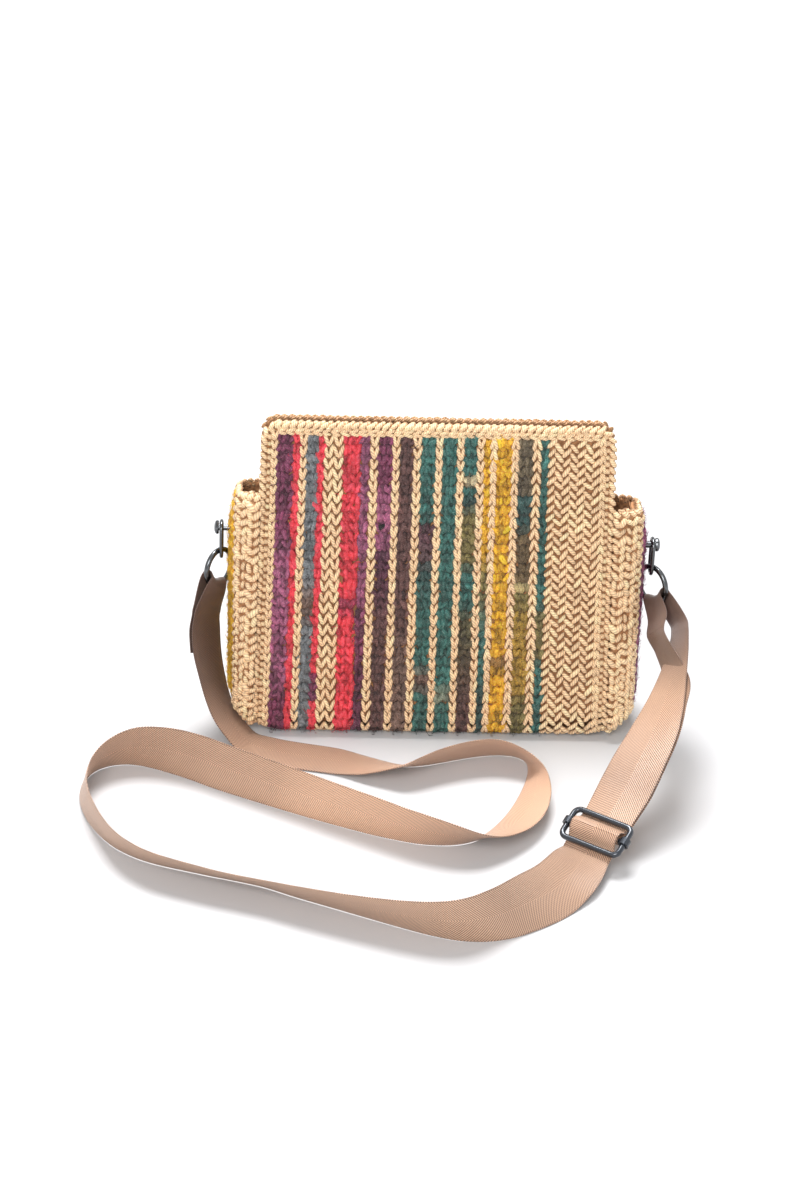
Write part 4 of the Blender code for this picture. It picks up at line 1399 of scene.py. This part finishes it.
# The strap's route: its centre in mm, then heading and climb in degrees and any width in mm.
MAIN_ROUTE = (
    (-135.6, -8, 71, -118, 22), (-136.6, -12, 60, -121, 20), (-135.6, -17, 47, -122, 22),
    (-132.6, -22, 34, -119, 21), (-129, -28, 23, -116, 18), (-124.5, -34, 14.5, -113, 14),
    (-118, -40, 8, -109, 9), (-110, -46.5, 3.5, -104, 4), (-100, -52, 1.4, -101, 0),
    (-90, -56, 1.2, -99, 0), (-78, -59.5, 1.2, -96, 0), (-57, -65.5, 1.3, -93, 1),
    (-42, -73.5, 3.6, -93, 9), (-29, -79.5, 6.5, -91, 20), (-19, -83, 9, -92, 29),
    (-9, -81, 10.6, -97, 36), (4, -75, 12, -101, 41), (18, -69, 12.8, -100, 44),
    (31, -65.5, 12.9, -98, 45), (41, -65.5, 12.4, -94, 43), (50, -69, 10.8, -87, 37),
    (56.5, -76, 9.4, -80, 31), (58.8, -86, 8.4, -73, 27), (58.3, -99.5, 7.4, -66, 23),
    (55.8, -112.5, 6.6, -61, 20), (51.5, -126.5, 6, -59, 18), (45, -140.5, 6, -62, 18),
    (36.8, -152.4, 6.8, -70, 21), (28, -161.6, 8.6, -79, 27), (18.5, -168.3, 11.2, -87, 38),
    (5.8, -170.3, 14, -88, 50), (-9.8, -167.5, 15.6, -82, 59), (-24.2, -161.6, 16, -74, 63),
    (-38.2, -154.3, 16.2, -64, 66), (-66.3, -138, 16.3, -50, 69), (-93.1, -121.2, 16.4, -36, 71),
    (-123.5, -101.8, 16.5, -26, 74), (-138, -91.8, 16.6, -28, 76), (-151.9, -84, 16.6, -40, 77),
    (-164, -79.3, 16.4, -60, 75), (-174.4, -77.6, 16, -80, 71), (-183.5, -79.6, 15.2, -90, 63),
    (-191.9, -85, 13.8, -92, 53), (-198, -93, 12.4, -89, 44), (-201.3, -104.5, 11.4, -83, 38),
    (-201.8, -118.7, 11, -76, 36), (-198.9, -135, 11, -71, 35), (-193, -153, 11.2, -70, 36),
    (-184.8, -170, 11.5, -73, 38), (-174.6, -183.6, 11.6, -76, 39), (-158.8, -196, 11.5, -81, 39),
    (-129.7, -208.5, 11, -86, 37), (-115.5, -213.6, 10.8, -87, 36), (-97.3, -220.6, 11, -87, 37),
    (-79.3, -230, 11.8, -86, 41), (-53.2, -242.4, 13, -85, 47), (-27, -254.2, 14.6, -86, 56),
    (-7, -261.4, 16, -92, 66), (9.1, -262.8, 16.8, -112, 76), (26, -256.4, 16.8, 176, 74),
    (42.2, -242, 15.6, 152, 59), (57.6, -222.8, 12.8, 141, 40), (70.4, -201.6, 10.6, 138, 20),
)
RISE_ROUTE = (
    (102.5, -146.4, 31.5, 144, 0), (111, -132.5, 41.5, 146, -6), (119.8, -116.9, 50.6, 142, -14),
    (128, -98, 59.5, 127, -21), (134.5, -77, 67, 114, -26), (139.8, -55, 72.6, 106, -29),
    (143, -36, 76, 104, -31, 29), (143.2, -22, 76.5, 112, -34, 23),
)
RETURN_ROUTE = (
    (131.5, -20, 77.5, 124, -38, 20), (129.4, -31, 73, 112, -40, 24), (131.6, -43, 69.8, 100, -48, 26),
)


@dataclass(frozen=True)
class Station:
    """A place on the strap.

    Attributes:
        place: Its centre.
        across: The unit vector across the strap.
        half: Half the strap's width there.
        sag: How the middle hangs below the edges.
    """

    place: Vector
    across: Vector
    half: float
    sag: Vector = Vector((0, 0, 0))

    @classmethod
    def measured(
        cls, x: float, y: float, z: float, heading: float, climb: float, width: float = 32.0
    ) -> "Station":
        """A station from its centre in mm, and its heading and climb in degrees."""
        turn, rise = radians(heading), radians(climb)
        across = Vector((cos(turn) * cos(rise), sin(turn) * cos(rise), sin(rise)))
        return cls(Vector((x, y, z)) / 1000, across, width / 2000)

    def resting(self) -> "Station":
        """The same, but with its lower edge on the floor where it hung just above it."""
        edge = self.half * abs(self.across.z) + STRAP_THICKNESS / 2 * sqrt(1 - self.across.z**2) + 0.0002
        sink = self.place.z - edge
        return replace(self, place=self.place - Vector((0, 0, sink))) if 0 < sink < 0.0022 else self


@dataclass(frozen=True)
class RingFrame:
    """Where a ring hangs.

    Attributes:
        side: -1 for left and 1 for right.
        middle: Its middle.
        hang: The direction that it hangs in.
        outward: The normal of its outer face.
        along: The direction along its lowest part.
    """

    side: int
    middle: Vector
    hang: Vector
    outward: Vector
    along: Vector

    @classmethod
    def of(cls, side: int) -> "RingFrame":
        """The frame of the ring on a side, -1 for left and 1 for right."""
        middle, low = link_middle(side), (LINK_LENGTH - 2 * LINK_WIRE) / 2
        level = Vector((side * cos(RING_TURN), -sin(RING_TURN), 0))
        hang = level * sin(RING_SWING) - Vector((0, 0, cos(RING_SWING)))
        outward = Vector((side * sin(RING_TURN), cos(RING_TURN), 0))
        along = level * cos(RING_SWING) + Vector((0, 0, sin(RING_SWING)))
        away = Vector((-along.z * side, 0, abs(along.x))).normalized()
        crossing = middle + Vector((0, RING_SHIFT, -low)) + away * (LINK_WIRE + 2 * CLEARANCE + RING_WIRE)
        return cls(side, crossing + hang * RING_RADIUS, hang, outward, along)

    def fold(self) -> list[Station]:
        """The strap's turn over the ring, from its outer face to its inner one."""
        half = 0.0080
        wrap = RING_WIRE + CLEARANCE + STRAP_THICKNESS / 2 + 0.0012
        sag = RING_RADIUS - sqrt(RING_RADIUS**2 - half**2)
        found = []
        for i in range(7):
            a = pi * i / 6
            place = self.middle + self.hang * (RING_RADIUS - wrap * sin(a)) + self.outward * (wrap * cos(a))
            found.append(Station(place - self.hang * sag, self.along * -self.side, half, self.hang * sag))
        return found


def stud_place(side: int) -> Vector:
    """The middle of a stud's hole on the flat side."""
    return Vector((side * SIZE.width / 2, 0, SIZE.top(side) - SIZE.stud_drop))


def link_middle(side: int) -> Vector:
    """The centre of the link that hangs from the stud."""
    drop = (LINK_LENGTH - 2 * LINK_WIRE) / 2 - POST_RADIUS - CLEARANCE - LINK_WIRE
    return stud_place(side) + Vector((side * LINK_STAND_OFF, 0, -drop))


def adjuster_point(along: float, across: float, up: float) -> Vector:
    """A point on the adjuster, from its centre."""
    normal = ADJUSTER_ACROSS.cross(ADJUSTER_ALONG).normalized()
    return ADJUSTER_CENTRE + ADJUSTER_ALONG * along + ADJUSTER_ACROSS * across + normal * up


def at_adjuster(places: Iterable[tuple[float, float]]) -> list[Station]:
    """Stations on the adjuster at (along, up)."""
    return [Station(adjuster_point(a, 0, up), -ADJUSTER_ACROSS, STRAP_AT_BAR / 2) for a, up in places]


def smooth(route: Sequence[Station], near: int, far: int, step: float) -> list[Station]:
    """The stations from near to far with more between them, on a smooth line.

    Args:
        route: All the stations.
        near: The first one's number.
        far: The last one's number.
        step: How far apart the new ones are.

    Returns:
        The denser stations.
    """
    def between(values: Sequence[Vector], t: float) -> Vector:
        p, q, r, s = values
        bend, twist = 2 * p - 5 * q + 4 * r - s, 3 * q - p - 3 * r + s
        return 0.5 * (2 * q + (r - p) * t + bend * t**2 + twist * t**3)

    found = []
    for i in range(near, far):
        four = [route[min(max(k, 0), len(route) - 1)] for k in range(i - 1, i + 3)]
        count = max(1, round((four[2].place - four[1].place).length / step))
        for k in range(count + (i == far - 1)):
            t = k / count
            found.append(Station(
                between([s.place for s in four], t),
                between([s.across for s in four], t).normalized(),
                four[1].half + (four[2].half - four[1].half) * t,
                between([s.sag for s in four], t),
            ))
    return found


def beside(route: Sequence[Station], i: int, gap: float) -> Station:
    """A station beside one of the route, moved off along the strap's face."""
    here = route[i]
    run = (route[i + 1].place - route[max(i - 1, 0)].place).normalized()
    return Station(here.place + run.cross(here.across).normalized() * gap, here.across, here.half)


@dataclass
class Strap:
    """The webbing strap, in pieces.

    Attributes:
        step: How far apart its sections are.
        points_across: The places across a section, on each face.
        wear: How light the webbing is painted at each distance along it, in metres: painted shade and sheen
            of its satin face.
    """

    step: float = 0.0028
    points_across: int = 9
    # Painted shade and sheen: darkest near the ring tops, where the satin face turns from the light.
    wear: tuple[tuple[float, float], ...] = (
        (0.0, 0.06), (0.12, 0.08), (0.144, 0.28), (0.17, 0.52), (0.22, 0.50), (0.26, 0.66), (0.31, 0.72),
        (0.35, 0.84), (0.41, 0.80), (0.45, 0.62), (0.50, 0.95), (0.55, 1.0), (0.58, 0.66), (0.66, 0.55),
        (0.70, 0.66), (0.78, 0.64), (0.92, 0.68), (0.99, 0.64), (1.03, 0.56), (1.09, 0.46), (1.15, 0.56),
        (1.17, 0.40), (1.21, 0.52), (1.235, 0.54), (1.268, 0.24), (1.30, 0.12), (1.40, 0.14), (1.43, 0.5),
    )

    def wear_at(self, reach: float) -> float:
        """How light the webbing is painted at a distance along it, as painted shade and sheen."""
        return float(np.interp(reach, *zip(*self.wear)))

    def route(self) -> list[Station]:
        """All its stations, from the sewn end at the left ring to that at the adjuster's bar."""
        under = -(FRAME_WIRE + 1.5 * CLEARANCE + STRAP_THICKNESS / 2)
        over = BAR_RADIUS + 2 * CLEARANCE + 1.5 * STRAP_THICKNESS
        lower = under - STRAP_THICKNESS - 2 * CLEARANCE
        edge = FRAME_HEIGHT / 2 - FRAME_WIRE
        rise = (
            (-edge - 0.004, under - 0.0006), (-edge, under), (-0.0070, under * 0.72), (-0.0050, over * 0.08),
            (-0.0030, over * 0.76), (0, over), (0.0030, over * 0.76), (0.0050, over * 0.08),
            (0.0070, under * 0.72), (edge, under), (edge + 0.004, under),
        )
        back = (
            (0.020, lower - 0.0004), (0.014, lower), (edge, lower), (0.0060, lower * 0.85),
            (0.0028, lower * 0.62),
        )
        wrap = BAR_RADIUS + CLEARANCE + STRAP_THICKNESS / 2
        loop = [(wrap * cos(radians(a)), wrap * sin(radians(a))) for a in (-90, -135, -180, -225, -270, -300)]
        main = [Station.measured(*row).resting() for row in MAIN_ROUTE]
        up = [Station.measured(*row) for row in RISE_ROUTE]
        doubled = [beside(main, i, 0.0019) for i in (2, 1, 0)]
        gaps = (-0.0022, -0.0022, -0.0022, -0.0023, -0.0024)
        under_rise = [beside(up, i, gaps[i]) for i in (4, 3, 2, 1, 0)]
        route = doubled + RingFrame.of(-1).fold() + main + at_adjuster(rise) + up + RingFrame.of(1).fold()
        route += [Station.measured(*row) for row in RETURN_ROUTE] + under_rise
        return route + at_adjuster(back) + at_adjuster(loop)

    def ribbon(self, name: str, stations: Sequence[Station], start: float) -> bpy.types.Object:
        """Makes one piece of the webbing.

        Args:
            name: The piece's name.
            stations: Its stations.
            start: How far along the strap it starts, so that the weave runs on.

        Returns:
            The piece, with the places on the weave in its attribute.
        """
        count, mesh, marks, sections, satin_shades = self.points_across, bmesh.new(), [], [], []
        lengths = [(q.place - p.place).length for p, q in zip(stations, stations[1:])]
        # Painted shade and sheen: each section takes the webbing's painted lightness at its distance along.
        shades = [self.wear_at(start + reach) for reach in np.concatenate([[0], np.cumsum(lengths)])]
        reach = start
        for i, here in enumerate(stations):
            near, far = stations[max(i - 1, 0)], stations[min(i + 1, len(stations) - 1)]
            reach += (here.place - near.place).length
            run = (far.place - near.place).normalized()
            up = run.cross(here.across).normalized() * (STRAP_THICKNESS / 2)
            section = []
            for face in (1, -1):
                order = range(count) if face > 0 else reversed(range(count))
                for k in order:
                    u = 1 - 2 * k / (count - 1)
                    thin = face * (0.35 if abs(u) == 1 else 1.0)
                    place = here.place + here.across * here.half * u + here.sag * (1 - u * u) + up * thin
                    section.append(mesh.verts.new(place))
                    marks.append((reach, u * STRAP_WIDTH / 2, face))
                    satin_shades.append(shades[i])
            sections.append(section)
        skin(mesh, sections)
        bmesh.ops.recalc_face_normals(mesh, faces=mesh.faces)
        data = mesh_data(name, mesh)
        store(data, "weave", "FLOAT_VECTOR", "vector", marks)
        store(data, "wear", "FLOAT", "value", satin_shades)
        data.shade_smooth()
        data.set_sharp_from_angle(angle=radians(60))
        data.materials.append(WEBBING.material())
        obj = add_object(name, data)
        log.info("%s: %.3f m, %d faces", name, reach - start, len(data.polygons))
        return obj

    def build(self) -> None:
        route, folds = self.route(), 7
        first, last = 3 + folds, len(route) - 1
        bar = first + len(MAIN_ROUTE) + 10
        top = bar + len(RISE_ROUTE) - 1
        down = top + 1 + folds + 2
        spans = {
            "strap_left_top": (0, first + 2), "strap_main": (first + 2, bar - 10),
            "strap_to_bar": (bar - 10, bar - 5), "strap_off_bar": (bar - 5, bar),
            "strap_rise": (bar, top), "strap_right_top": (top, down),
            "strap_return": (down, last - 9), "strap_round_bar": (last - 9, last),
        }
        pieces, lines, reach = {}, {}, 0.0
        for name, (near, far) in spans.items():
            stations = smooth(route, near, far, self.step)
            pieces[name] = self.ribbon(name, stations, reach)
            lines[name] = [tuple(s.place) for s in stations]
            reach += line_length(lines[name])
        for name, ends, near, far in (
            ("strap_to_bar", ("bag", "adjuster_bar"), bar - 10, bar - 8),
            ("strap_off_bar", ("adjuster_bar", "bag"), bar - 2, bar),
            ("strap_round_bar", ("bag", "adjuster_bar"), last - 9, last - 7),
        ):
            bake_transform(pieces[name])
        left, right = RingFrame.of(-1), RingFrame.of(1)
        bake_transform(pieces["strap_left_top"])
        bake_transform(pieces["strap_main"])
        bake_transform(pieces["strap_rise"])
        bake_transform(pieces["strap_return"])
        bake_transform(pieces["strap_right_top"])
        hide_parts("strap")


# Metal


def tube(
    name: str, line: Sequence[Vector], radius: float, finish: Finish, around: int = 20
) -> bpy.types.Object:
    """A closed loop of round wire.

    Args:
        name: The piece's name.
        line: The loop's middle line, all in one plane.
        radius: The wire's radius.
        finish: Its finish.
        around: Faces round the wire.

    Returns:
        The wire.
    """
    mesh, rings, count = bmesh.new(), [], len(line)
    normal = (line[count // 4] - line[0]).cross(line[count // 2] - line[0]).normalized()
    for i in range(count):
        run = (line[(i + 1) % count] - line[i - 1]).normalized()
        side = run.cross(normal).normalized()
        rings.append([
            mesh.verts.new(line[i] + (side * cos(a) + normal * sin(a)) * radius)
            for a in (2 * pi * k / around for k in range(around))
        ])
    skin(mesh, rings, closed=True)
    return finish_piece(name, mesh, finish)


def finish_piece(name: str, mesh: bmesh.types.BMesh, finish: Finish) -> bpy.types.Object:
    """Turns a mesh into a smooth piece in the scene with a finish."""
    bmesh.ops.recalc_face_normals(mesh, faces=mesh.faces)
    data = mesh_data(name, mesh)
    data.shade_smooth()
    data.set_sharp_from_angle(angle=radians(50))
    data.materials.append(finish.material())
    log.info("%s: %d faces", name, len(data.polygons))
    return add_object(name, data)


def oblong(width: float, length: float, corner: float, steps: int = 16) -> list[tuple[float, float]]:
    """Points round an upright oblong with rounded corners, in (across, up)."""
    points = []
    for cx, cz, first in ((1, 1, 0), (-1, 1, 90), (-1, -1, 180), (1, -1, 270)):
        for i in range(steps + 1):
            a = radians(first + 90 * i / steps)
            x, z = cx * (width / 2 - corner), cz * (length / 2 - corner)
            points.append((x + corner * cos(a), z + corner * sin(a)))
    return points


@dataclass
class Hanger:
    """The link and the ring that carry the strap on one side.

    Attributes:
        side: -1 for left and 1 for right.
    """

    side: int

    @property
    def label(self) -> str:
        """The side's name."""
        return "left" if self.side < 0 else "right"

    def build(self) -> None:
        """Makes the link and the ring of round wire. The stud keeps its CAD shape."""
        middle = link_middle(self.side)
        width, length = LINK_WIDTH - 2 * LINK_WIRE, LINK_LENGTH - 2 * LINK_WIRE
        outline = [middle + Vector((0, u, v)) for u, v in oblong(width, length, width / 2 - 0.0004)]
        self.place(tube("wire_link_", outline, LINK_WIRE, GUNMETAL), "link_")
        ring = RingFrame.of(self.side)
        beside = ring.hang.cross(ring.outward).normalized()
        turns = [2 * pi * i / 96 for i in range(96)]
        circle = [ring.middle + (ring.hang * cos(a) + beside * sin(a)) * RING_RADIUS for a in turns]
        self.place(tube("round_ring_", circle, RING_WIRE, GUNMETAL, 24), "ring_")

    def place(self, obj: bpy.types.Object, node: str) -> None:
        """Names a piece for its side and hangs it on its body."""
        obj.name += self.label
        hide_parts(node + self.label)
        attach(obj, node + self.label)


@dataclass
class Adjuster:
    """The wire frame and the bar with sleeves that set the strap's length."""

    def build(self) -> None:
        """Makes the frame of round wire. The bar keeps its CAD shape."""
        length, height = FRAME_LENGTH - 2 * FRAME_WIRE, FRAME_HEIGHT - 2 * FRAME_WIRE
        outline = oblong(length, height, FRAME_CORNER - FRAME_WIRE, 10)
        piece = tube("wire_frame", [adjuster_point(v, u, 0) for u, v in outline], FRAME_WIRE, ENAMEL)
        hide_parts("adjuster_frame")
        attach(piece, "bag")


# Studio


@dataclass(frozen=True)
class Studio:
    """The floor, the lights and the camera.

    Attributes:
        position: Where the camera is.
        shift: How far it is moved right and up from there.
        elevation: How far it looks down, in degrees.
        azimuth: How far it is turned to the right.
        roll: How far it is tilted.
        lens: Its focal length in mm.
        ambient: How bright the surroundings are to the bag.
    """

    position: tuple[float, float, float] = (-0.0845, -1.4480, 0.7504)
    shift: tuple[float, float] = (0.0002, 0.0014)
    elevation: float = 25.0
    azimuth: float = 2.5
    roll: float = 2.1
    lens: float = 80.0
    ambient: float = 0.4

    def camera(self) -> None:
        """Sets the camera at the photo's viewing angle."""
        el, az, roll = radians(self.elevation), radians(self.azimuth), radians(self.roll)
        look = Vector((sin(az) * cos(el), cos(az) * cos(el), -sin(el)))
        level = Vector((cos(az), -sin(az), 0))
        upright = level.cross(look)
        right = level * cos(roll) + upright * sin(roll)
        up = upright * cos(roll) - level * sin(roll)
        data = bpy.data.cameras.new("camera")
        data.sensor_fit, data.sensor_height, data.lens = "VERTICAL", 36.0, self.lens
        data.clip_end = 30.0
        obj = add_object("camera", data)
        place = Vector(self.position) + right * self.shift[0] + up * self.shift[1]
        obj.matrix_world = Matrix.Translation(place) @ Matrix((right, up, -look)).transposed().to_4x4()
        bpy.context.scene.camera = obj

    def lamp(
        self, name: str, place: Sequence[float], aim: Sequence[float], size: float, power: float
    ) -> None:
        """Adds a square soft lamp aimed at a point."""
        data = bpy.data.lights.new(name, "AREA")
        data.size, data.energy = size, power
        turn = (Vector(aim) - Vector(place)).to_track_quat("-Z", "Y").to_matrix().to_4x4()
        add_object(name, data).matrix_world = Matrix.Translation(place) @ turn

    def build(self) -> None:
        """Makes the floor, the lamps, the white surroundings and the camera."""
        self.camera()
        data = bpy.data.meshes.new("floor")
        data.from_pydata([(-6, -6, 0), (6, -6, 0), (6, 6, 0), (-6, 6, 0)], [], [(0, 1, 2, 3)])
        data.materials.append(FLOOR.material())
        add_object("floor", data)
        self.lamp("top", (-0.1, 0.40, 1.7), (0, -0.08, 0.05), 0.8, 46)
        self.lamp("front", (-0.4, -1.7, 1.2), (0, -0.05, 0.08), 0.8, 24)
        world = bpy.data.worlds.new("studio")
        bpy.context.scene.world = world
        world.use_nodes = True
        n = Nodes(world.node_tree)
        sky = world.node_tree.nodes["Background"]
        n.link(n.math("MULTIPLY_ADD", n.seen(), 1 - self.ambient, self.ambient), sky.inputs["Strength"])
        sky.inputs["Color"].default_value = (1, 1, 1, 1)
        bpy.context.scene.view_settings.view_transform = "Standard"


def finish_cad_nodes() -> None:
    """Gives the CAD pieces that stay their own procedural finish."""
    for name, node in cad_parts.items():
        if node.hide_render:
            continue
        finish = ENAMEL if name.startswith("adjuster") else GUNMETAL
        node.data.materials.clear()
        node.data.materials.append(finish.material())
        log.info("%s keeps its CAD shape", name)


def main() -> None:
    """Dresses the CAD model."""
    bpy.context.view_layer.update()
    Strap().build()
    cord = make_legs("cord_leg", 8, 6, 0.45, 3, 5.0)
    wool = make_legs("wool_leg", 6, 5, 0.42, 0, 0.0, kinds=6, fibres=6)
    Ground("wrap_fabric", "knit_wrap").build()
    Panel(cord, wool).rows()
    for side, columns, colour, slot in (
        (-1, (0.07, 0.25, 0.45, 0.68, 0.94), GOLD, "yellow"),
        (1, (0.06, 0.20, 0.36, 0.54, 0.74, 0.95), MAUVE, "mauve"),
    ):
        gusset = Gusset(side, columns, plain(colour), slot, cord, wool)
        Ground("gusset_" + gusset.label, "knit_gusset_" + gusset.label).build()
        gusset.build()
        Hanger(side).build()
    Adjuster().build()
    finish_cad_nodes()
    Studio().build()
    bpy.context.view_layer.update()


if __name__ == "__main__":
    main()
